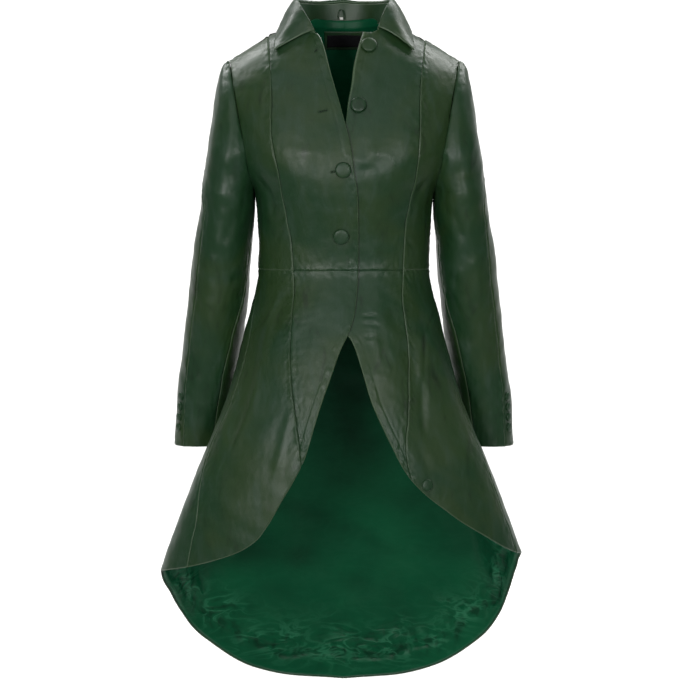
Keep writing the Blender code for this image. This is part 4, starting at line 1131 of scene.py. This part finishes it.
# Collar
# A shirt collar: a stand that rises from the neck seam and a fall that rolls over it, both of the leather,
# faced with the same. The right leaf reaches the front edge; the left one ends short of it.
COLLAR = table(
    "along lean rise roll edge_x edge_y edge_z",
    (0.00, 0.000, 0.0018, 0.0022, 0.1100, -0.061, -0.0225),
    (0.18, 0.002, 0.019, 0.0050, 0.1098, -0.039, -0.0080),
    (0.42, 0.003, 0.030, 0.0050, 0.1080, -0.002, 0.0085),
    (0.70, 0.000, 0.036, 0.0050, 0.0840, 0.050, 0.009),
    (1.00, -0.006, 0.041, 0.0050, 0.0000, 0.081, 0.014),
)
COLLAR_START = {"right": 0.14, "left": 0.56}
COLLAR_STEP = 0.0030
COLLAR_LENGTH, STAND_LENGTH, FALL_LENGTH = 0.24, 0.036, 0.075
ROLL_GAP, FOLD_OUT, ROLL_BULGE = 0.0012, 0.0018, 0.0030
NECK_TURN, NECK_CENTRE_Y = 0.42, 0.004
FALL_BEND, COLLAR_TONE = (0.36, 0.36, 0.14), 0.04
UP = np.array((0.0, 0.0, 1.0))


def neck_ring(side, along):
    """Points of the neckline from the collar's front end to centre back, on the leather's outer face."""
    start = COLLAR_START[side]
    front = neck_line(side, start + (1 - start) * np.clip(along / NECK_TURN, 0, 1))
    back = back_neck_line(SIDES[side], np.clip((along - NECK_TURN) / (1 - NECK_TURN), 0, 1))
    line = np.where((along < NECK_TURN)[:, None], front, back)
    return body(line[:, 0], line[:, 1])


def outward(ring):
    """Level unit vectors away from the middle of the neck."""
    return unit(ring * (1.0, 1.0, 0.0) - (0.0, NECK_CENTRE_Y, 0.0))


def collar_curves(along):
    """The stand's foot and top, the fold above it and the fall's outer edge, from right to left."""
    sides = []
    for side, sign in SIDES.items():
        ring = neck_ring(side, along)
        row = {name: column(COLLAR, name, along, "along")[:, None] for name in COLLAR}
        out = outward(ring)
        top = ring + row["lean"] * out + row["rise"] * UP
        crest = top + FOLD_OUT * out + row["roll"] * UP
        rim = np.concatenate([sign * row["edge_x"], row["edge_y"], row["edge_z"]], -1)
        curves = np.stack([ring + 2 * SEAM_GAP * UP, top, crest, rim])
        sides.append(curves[:, -2::-1] if side == "left" else curves)
    return np.concatenate(sides, axis=1)


def grid_normals(points):
    """Unit normals of a grid from its own rows and columns."""
    return unit(np.cross(np.gradient(points, axis=1), np.gradient(points, axis=0)))


def bezier(start, middle, end, w):
    """The quadratic curve from start to end that middle draws out, for each point of the three rows."""
    w = w[:, None, None]
    return (1 - w) ** 2 * start + 2 * w * (1 - w) * middle + w**2 * end


def add_collar_piece(node, face, normal, seams, swell):
    """A leather wall on a grid of its own, along given normals."""
    rise, nearest = sewn(face, seams)
    outer, inner = face + (swell + rise)[..., None] * normal, face + (swell - LEATHER)[..., None] * normal
    add_leather(node, outer, inner, nearest, swell + rise, COLLAR_TONE, face)


foot, roll, crest, rim = collar_curves(samples(COLLAR_LENGTH, COLLAR_STEP))
out = outward(foot)
w = samples(STAND_LENGTH, COLLAR_STEP)
stand = roll + (foot - roll) * w[:, None, None]
swell = 0.0003 * waves(stand, 0.05, 41)
add_collar_piece("collar_stand", stand, np.broadcast_to(out, stand.shape), ("bottom",),
                 swell)
start = roll - LEATHER * out + ROLL_GAP * UP
shoulder = crest + (rim - crest) * np.array(FALL_BEND)
peak = crest + ROLL_BULGE * unit(crest - shoulder)
over = bezier(start, peak, crest, np.linspace(0, 1, 7))[:-1]
drape = bezier(crest, shoulder, rim, samples(FALL_LENGTH, COLLAR_STEP))
fall = np.concatenate([over, drape])
normal = grid_normals(fall)
normal *= np.sign((normal[len(over) + 4] * out).sum())
swell = layered(fall, ((0.0006, 0.06, 42), (0.0002, 0.02, 43)))
swell[: len(over)] *= np.linspace(0, 1, len(over))[:, None]
add_collar_piece("collar_fall", fall, normal, (), swell)

# Neck trim
# A leather patch on the back lining carries the bare woven label, sewn on round its border. Above it a
# leather hanging loop with a tiny blank white tab is caught into the stand.
PATCH = {"half": 0.0325, "top": 0.0165, "bottom": -0.0135}
LABEL = {"half": 0.0280, "top": 0.0105, "bottom": -0.0100}
PATCH_THICK, LABEL_THICK = 0.0010, 0.0006
TRIM_STEP = 0.0012
TRIM_LIFT, LABEL_LIFT, TRIM_ROLL, TRIM_ROLL_WIDTH = 0.0003, 0.0002, 0.8, 0.0007
LOOP_X, LOOP_HALF, LOOP_TOP, LOOP_DROP = -0.004, 0.0055, 0.050, 0.016
LOOP_STRAP, LOOP_STAND, LOOP_GAP, LOOP_TURNS = 0.0012, 0.0035, 0.0016, 12
STITCH, STITCH_STEP, THREAD, STITCH_IN, STITCH_TURNS = 0.0021, 0.0030, 0.00022, 0.0013, 6
TAB = {"x": -0.005, "half": 0.0034, "top": 0.0375, "bottom": 0.0338, "near": 0.0006, "thick": 0.0004}
STITCH_LIFT = 0.0003
THREAD_COLOURS = {"black_and_slit_shadow": (8, 9, 10), "green": (52, 74, 52)}


def woven_finish(name, colour):
    """Close woven cloth of one colour, with the threads' ribs."""
    cloth = Finish(name)
    ribs = cloth.node("TexWave", {"bands_direction": "Z"}, {"Vector": cloth.place, "Scale": 420.0})
    clouds = cloth.noise(60, 2)
    darker = tuple(0.7 * c for c in colour)
    tone = cloth.blend(cloth.step(clouds, 0.35, 0.7) * 0.6, colour, darker)
    return cloth.close(tone, 0.72 + 0.1 * clouds, cloth.bump(ribs, 0.0001, 0.5), 0.2)


label_cloth = woven_finish("label_cloth", (12, 12, 16))
tab_cloth = woven_finish("tab_cloth", (214, 214, 208))
threads = {name: woven_finish(f"thread_{name}", colour) for name, colour in THREAD_COLOURS.items()}


def trim_face(x, z, out):
    """The back lining's visible face, out metres off it towards the hollow."""
    theta = np.pi - angle_at(x, z)
    return body(theta, z, relief(theta, z) - LEATHER - LAYER_GAP - SATIN - back_puff(body(theta, z)) - out)


def add_trim(name, node, size, out, thick, finish):
    """A small flat piece laid on the back lining."""
    z = np.linspace(size["top"], size["bottom"], int((size["top"] - size["bottom"]) / TRIM_STEP))[:, None]
    x = np.linspace(-size["half"], size["half"], int(2 * size["half"] / TRIM_STEP))[None]
    x, z = np.broadcast_arrays(x, z)
    near, far = trim_face(x, z, out + thick), trim_face(x, z, out)
    nearest = np.minimum.reduce(list(edge_distances(near).values()))
    face = near + (far - near) * (TRIM_ROLL * bell(nearest / TRIM_ROLL_WIDTH))[..., None]
    still = np.zeros(x.shape)
    piece = add_wall(name, face, far, finish, edge=still + NO_RUB_OR_HIGHLIGHT, height=still, olive=still)
    declare(piece, node, near)


UNDER_LABEL = TRIM_LIFT + PATCH_THICK + LABEL_LIFT
add_trim("label_patch_leather", "label_patch", PATCH, TRIM_LIFT, PATCH_THICK, leather)
add_trim("label_cloth", "label", LABEL, UNDER_LABEL, LABEL_THICK, label_cloth)


def round_faces(rows, turns):
    """The squares of a tube or a turned surface, whose points lie in rows of turns each."""
    row, i = np.arange(rows - 1)[:, None] * turns, np.arange(turns)
    j = (i + 1) % turns
    return np.stack([row + i, row + j, row + turns + j, row + turns + i], -1).reshape(-1, 4).tolist()


def tube_faces(rows, turns):
    """A closed tube's faces: its squares and its two ends."""
    count = rows * turns
    return [*round_faces(rows, turns), list(range(turns)), list(range(count - 1, count - turns - 1, -1))]


def add_stitches(name, starts, ends, lift, radius, finish):
    """Threads from each start to each end that stand up by lift in a low arch: six-sided tubes, joined."""
    turns = STITCH_TURNS
    t = np.linspace(0, 1, turns)[None, :, None]
    path = starts[:, None] * (1 - t) + ends[:, None] * t + lift[:, None] * (4 * t * (1 - t)) ** 0.5
    way = unit(np.gradient(path, axis=1))
    side = unit(np.cross(way, unit(lift[:, None])))
    rise = np.cross(side, way)
    turn = np.arange(turns) * 2 * np.pi / turns
    around = np.cos(turn)[:, None] * side[:, :, None] + np.sin(turn)[:, None] * rise[:, :, None]
    ring = path[:, :, None] + radius * around
    tube = tube_faces(turns, turns)
    faces = [[k * turns**2 + point for point in face] for k in range(len(starts)) for face in tube]
    return add_mesh(name, ring.reshape(-1, 3), faces, finish)


def border_stitches(half, top, bottom):
    """Starts and ends of the running stitches round a rectangle, as x and z."""
    corners = np.array(((-half, top), (half, top), (half, bottom), (-half, bottom)))
    starts, ends = [], []
    for corner, following in zip(corners, np.roll(corners, -1, 0)):
        length = np.linalg.norm(following - corner)
        at = (np.arange(int(length / STITCH_STEP)) + 0.5) * STITCH_STEP
        way = (following - corner) / length
        starts.append(corner + (at - STITCH / 2)[:, None] * way)
        ends.append(corner + (at + STITCH / 2)[:, None] * way)
    return np.concatenate(starts), np.concatenate(ends)


size = (LABEL["half"] - STITCH_IN, LABEL["top"] - STITCH_IN, LABEL["bottom"] + STITCH_IN)
starts, ends = border_stitches(*size)
on_label = UNDER_LABEL + LABEL_THICK
places = [trim_face(at[:, 0], at[:, 1], on_label) for at in (starts, ends)]
towards = trim_face(starts[:, 0], starts[:, 1], on_label + STITCH_LIFT) - places[0]
attach(add_stitches("label_stitches", *places, towards, THREAD, threads["black_and_slit_shadow"]))

middle = len(foot) // 2
loop_foot, loop_roll = foot[middle], roll[middle]
t = np.linspace(0, np.pi, 41)
z = LOOP_TOP - LOOP_DROP * (1 - np.sin(t) ** 0.6)


def stand_face(z):
    """How far back the stand's inner face lies at the height z, less the loop's gap."""
    run, climb = loop_roll[1] - loop_foot[1], loop_roll[2] - loop_foot[2]
    return loop_foot[1] + run * (z - loop_foot[2]) / climb - LEATHER - LOOP_GAP


bow = np.stack([LOOP_X + LOOP_HALF * np.cos(t), stand_face(z), z], -1)
shrink = LOOP_STRAP * np.stack([-np.cos(t), 0 * t, -np.sin(t)], -1)
turn = np.linspace(0, 2 * np.pi, LOOP_TURNS + 1)[:-1]
strap = bow - (0, LOOP_STAND / 2, 0) + shrink / 2
square = [np.sign(f) * np.abs(f) ** 0.5 for f in (np.cos(turn), np.sin(turn))]
ring = strap[:, None] + square[0][:, None] * (0, LOOP_STAND / 2, 0) + square[1][:, None] * shrink[:, None] / 2
still = np.zeros(len(t) * LOOP_TURNS)
loop = add_mesh("hanging_loop_leather", ring.reshape(-1, 3), tube_faces(len(t), LOOP_TURNS), leather,
                edge=still + NO_RUB_OR_HIGHLIGHT, height=still, olive=still)
attach(loop, "hanging_loop")

corners = [
    (TAB["x"] + way * TAB["half"], stand_face(TAB[level]) + LOOP_GAP - back, TAB[level])
    for way, level in ((-1, "top"), (-1, "bottom"), (1, "bottom"), (1, "top"))
    for back in (TAB["near"], TAB["near"] + TAB["thick"])
]
cube = [[0, 2, 4, 6], [7, 5, 3, 1], [0, 1, 3, 2], [2, 3, 5, 4], [4, 5, 7, 6], [6, 7, 1, 0]]
tab = add_mesh("blank_tab_cloth", np.array(corners), cube, tab_cloth)
tab.data.shade_flat()
attach(tab)

# Buttonholes
# Three worked keyholes show on the right front: one slanted by the neck, one bare beside the open edge and
# one whose eye peeps out beside its button. The fourth lies under its button. Each slit is a thin black
# sheet of painted shadow.
HOLES = table(
    "x z to_x to_z",
    (-0.0367, -0.0186, -0.0455, -0.0266),
    (-0.0254, -0.1184, -0.0383, -0.1215),
    (-0.0020, -0.2110, -0.0195, -0.2140),
    (-0.0040, -0.3130, -0.0150, -0.3140),
)
HOLE_STITCH, HOLE_STITCH_STEP, HOLE_OPEN = 0.0016, 0.0008, 0.0004
HOLE_LIFT, HOLE_STAND, HOLE_THREAD, SLIT_TOP, SLIT_UNDER = 0.0003, 0.0001, 0.00033, 0.00012, -0.0003


def on_right_front(x, z, out):
    """A point out metres off the right front."""
    theta = angle_at(x, z)
    return body(theta, z, relief(theta, z) + out)


for number, (x, z, to_x, to_z) in enumerate(zip(*HOLES.values()), start=1):
    length = np.hypot(to_x - x, to_z - z)
    along, side_way = np.array((to_x - x, to_z - z)) / length, np.array((z - to_z, to_x - x)) / length
    run = np.linspace(0, length, int(length / HOLE_STITCH_STEP))
    eye = np.linspace(-np.pi / 2, np.pi / 2, 7)[1:-1]
    row = (x, z) + run[:, None] * along
    fan = np.cos(eye)[:, None] * along + np.sin(eye)[:, None] * side_way
    ways = np.concatenate([np.tile(side_way, (len(run), 1)), fan, np.tile(-side_way, (len(run), 1))])
    middles = np.concatenate([row, np.tile(row[-1:], (len(eye), 1)), row[::-1]])
    starts, ends = middles + HOLE_OPEN * ways, middles + (HOLE_OPEN + HOLE_STITCH) * ways
    places = [on_right_front(at[:, 0], at[:, 1], HOLE_STAND) for at in (starts, ends)]
    lift = on_right_front(starts[:, 0], starts[:, 1], HOLE_STAND + HOLE_LIFT) - places[0]
    name = f"buttonhole_{number}"
    attach(add_stitches(f"{name}_stitches", *places, lift, HOLE_THREAD, threads["green"]))
    rim = np.concatenate([row + HOLE_OPEN * side_way, row[-1:] + HOLE_OPEN * 2 * fan[2:3],
                          (row - HOLE_OPEN * side_way)[::-1]])
    # A thin black sheet in the cut: painted shadow in the slit.
    slit_shadow = np.concatenate([on_right_front(rim[:, 0], rim[:, 1], out) for out in (SLIT_TOP, SLIT_UNDER)])
    attach(add_mesh(f"{name}_slit", slit_shadow, tube_faces(2, len(rim)), threads["black_and_slit_shadow"]))

# Buttons
# Domed buttons covered with the leather, gathered over the rim: four down the front, one low on the left
# skirt and four at each cuff's vent. They stay as they are, two of the front ones undone.
BUTTON = {"radius": 0.0125, "height": 0.0060, "stand": 0.0008}
VENT_BUTTON = {"radius": 0.0070, "height": 0.0035, "stand": -0.0005}
HEM_BUTTON = {"radius": 0.0090, "height": 0.0030, "stand": 0.0008}
HEM_BUTTON_X, HEM_BUTTON_Z = 0.129, -0.697
VENT_BUTTON_Z, VENT_BUTTON_DEGREES = (-0.574, -0.591, -0.608, -0.625), 33.0
FRONT_BUTTONS = table(
    "on x z",
    (1, 0.0385, -0.017),
    (1, 0.0221, -0.111),
    (-1, -0.0015, -0.211),
    (-1, -0.0048, -0.313),
)
DOME = table(
    "share reach height", (0, 0.86, 0), (0.22, 1, 0.32), (0.5, 0.93, 0.68), (0.78, 0.60, 0.92), (1, 0, 1),
)
GATHERS, GATHER_DEPTH, GATHER_AT, GATHER_WIDTH = 22, 0.035, 0.12, 0.16
BUTTON_WEAR, BUTTON_TONE, RIM_SHARE, RIM_SHADE = 0.0019, -0.05, 0.15, -0.0016


def add_button(node, place, normal, size, turns=48, seed=0, wear=NO_RUB_OR_HIGHLIGHT):
    """A covered button: its profile is turned round the normal, and small gathers ripple its rim, whose
    colour has painted shade.
    """
    share = np.linspace(0, 1, 15)
    reach, height = column(DOME, "reach", share, "share"), column(DOME, "height", share, "share")
    turn = np.arange(turns) * 2 * np.pi / turns
    ripple = GATHER_DEPTH * np.sin(GATHERS * turn + 0.6 * np.sin(3 * turn + seed))
    gather = 1 + ripple[None] * bell((share[:, None] - GATHER_AT) / GATHER_WIDTH)
    side = unit(np.cross(normal, UP))
    up = np.cross(side, normal)
    radial = np.cos(turn)[:, None] * side + np.sin(turn)[:, None] * up
    back = place + size["stand"] * normal
    crown = back + size["height"] * normal
    grid = (size["radius"] * (reach[:-1, None] * gather[:-1]))[..., None] * radial
    grid = grid + (size["height"] * height[:-1])[:, None, None] * normal + back
    points = np.concatenate([grid.reshape(-1, 3), back[None], crown[None]])
    i, last = np.arange(turns), (len(share) - 2) * turns
    j = (i + 1) % turns
    fans = np.concatenate([np.stack([j, i, 0 * i + len(points) - 2], -1),
                           np.stack([last + i, last + j, 0 * i + len(points) - 1], -1)])
    faces = [*round_faces(len(share) - 1, turns), *fans.tolist()]
    # Painted shade: the rim's low height colours it dark, for the shadow round the button.
    rim = np.concatenate([np.repeat(share[:-1], turns), [0, 1]]) < RIM_SHARE
    piece = add_mesh(f"{node}_covered", points, faces, leather, edge=np.where(rim, NO_RUB_OR_HIGHLIGHT, wear),
                     height=np.where(rim, RIM_SHADE, 0.0), olive=np.full(len(points), BUTTON_TONE))
    attach(piece, node)


def left_front(theta, z):
    """The left front's surface, in under the right one's where they overlap."""
    return body(theta, z, left_lap(theta, z))


def add_body_button(node, surface, x, z, size, seed, wear=NO_RUB_OR_HIGHLIGHT):
    """A button on the body's front at x and z."""
    theta = float(angle_at(x, z))
    normal = surface_normal(surface, theta, z)
    place = surface(theta, z) + float(relief(theta, z)) * normal
    add_button(node, place, normal, size, seed=seed, wear=wear)


for number, (sign, x, z) in enumerate(zip(*FRONT_BUTTONS.values()), start=1):
    surface = left_front if sign > 0 else body
    add_body_button(f"button_{number}", surface, x, z, BUTTON, number, BUTTON_WEAR)
add_body_button("hem_button", body, HEM_BUTTON_X, HEM_BUTTON_Z, HEM_BUTTON, 5)
phi = np.radians(VENT_BUTTON_DEGREES)
for side, sign in SIDES.items():
    for number, z in enumerate(VENT_BUTTON_Z, start=1):
        normal = sleeve_normal(sign, phi, z)
        place = sleeve(sign, phi, z) + float(sleeve_relief(sign, phi, z)) * normal
        add_button(f"vent_button_{side}_{number}", place, normal, VENT_BUTTON, turns=28, seed=number)

# Stage
# A pale round backdrop whose floor sweeps up into its wall, coloured grey away from the part behind the coat
# as painted shade, softboxes in front and above, more behind for the backdrop, and the camera at the
# photograph's angle.
FLOOR_Z, FLOOR_REACH, SWEEP, WALL_TOP, WALL_TURNS = -1.15, 3.4, 1.6, 2.6, 96
CAMERA_PLACE, CAMERA_TILT, LENS = (-0.0064, -3.5, -0.26), 3.6, 116.0
SKY = 0.06
LIGHTS = (
    ((-1.1, -2.6, 1.9), (0.0, 0.0, -0.35), (2.1, 2.6), 21.0),
    ((1.1, -2.6, 1.8), (0.0, 0.0, -0.35), (2.1, 2.6), 15.5),
    ((-1.25, -3.2, -0.28), (0.0, 0.0, -0.25), (1.0, 0.45), 46.0),
    ((1.10, -3.2, -0.28), (0.0, 0.0, -0.25), (1.0, 0.45), 34.0),
    ((-2.6, -1.3, 0.1), (0.0, 0.0, -0.50), (0.5, 1.2), 3.0),
    ((2.6, -1.3, 0.1), (0.0, 0.0, -0.50), (0.5, 1.2), 2.5),
    ((-1.6, 1.2, 1.9), (-0.6, 3.6, -0.8), (2.4, 1.2), 160.0),
    ((1.6, 1.2, 1.9), (0.6, 3.6, -0.8), (2.4, 1.2), 160.0),
)
PAPER_MIDDLE, PAPER_BRIGHT, PAPER_DIM = (0.0, 3.2, -1.0), 3.0, 4.2
PAPER_COLOURS = ((216, 216, 215), (212, 212, 211), (122, 122, 122))

bend = np.linspace(0, np.pi / 2, 15)
reach = np.concatenate([[0.001, 1.2, 2.3], FLOOR_REACH + SWEEP * np.sin(bend), [FLOOR_REACH + SWEEP]])
height = np.concatenate([np.full(3, FLOOR_Z), FLOOR_Z + SWEEP - SWEEP * np.cos(bend), [WALL_TOP]])
turn = np.arange(WALL_TURNS) * 2 * np.pi / WALL_TURNS
ring = [reach[:, None] * np.cos(turn), reach[:, None] * np.sin(turn), height[:, None] + 0 * turn]
ring = np.stack(ring, -1).reshape(-1, 3)
squares = [*round_faces(len(reach), WALL_TURNS), list(range(WALL_TURNS))]
paper = Finish("paper")
tone = paper.blend(paper.step(paper.noise(2.0), 0.3, 0.7), *PAPER_COLOURS[:2])
away = paper.node("VectorMath", {"operation": "DISTANCE"}, {0: paper.place, 1: PAPER_MIDDLE}, out="Value")
# Painted shade: the paper turns grey away from the wall behind the coat.
tone = paper.blend(paper.step(away, PAPER_BRIGHT, PAPER_DIM), tone, PAPER_COLOURS[2])
add_mesh("backdrop", ring, squares, paper.close(tone, 0.9, None, 0.1))

world = bpy.data.worlds.new("studio")
bpy.context.scene.world = world
world.use_nodes = True
world.node_tree.nodes["Background"].inputs["Color"].default_value = (1, 1, 1, 1)
world.node_tree.nodes["Background"].inputs["Strength"].default_value = SKY
bpy.context.scene.view_settings.view_transform = "Standard"

for number, (place, target, (width, height), watts) in enumerate(LIGHTS, start=1):
    light = bpy.data.lights.new(f"softbox_{number}", "AREA")
    light.shape, light.size, light.size_y, light.energy = "RECTANGLE", width, height, watts
    softbox = add_object(light.name, light)
    softbox.location = place
    way = mathutils.Vector(target) - mathutils.Vector(place)
    softbox.rotation_euler = way.to_track_quat("-Z", "Y").to_euler()
    softbox.visible_camera = False
lens = bpy.data.cameras.new("camera")
lens.lens, lens.sensor_width = LENS, 36.0
camera = add_object("camera", lens)
camera.location = CAMERA_PLACE
camera.rotation_euler = (np.radians(90 - CAMERA_TILT), 0, 0)
bpy.context.scene.camera = camera
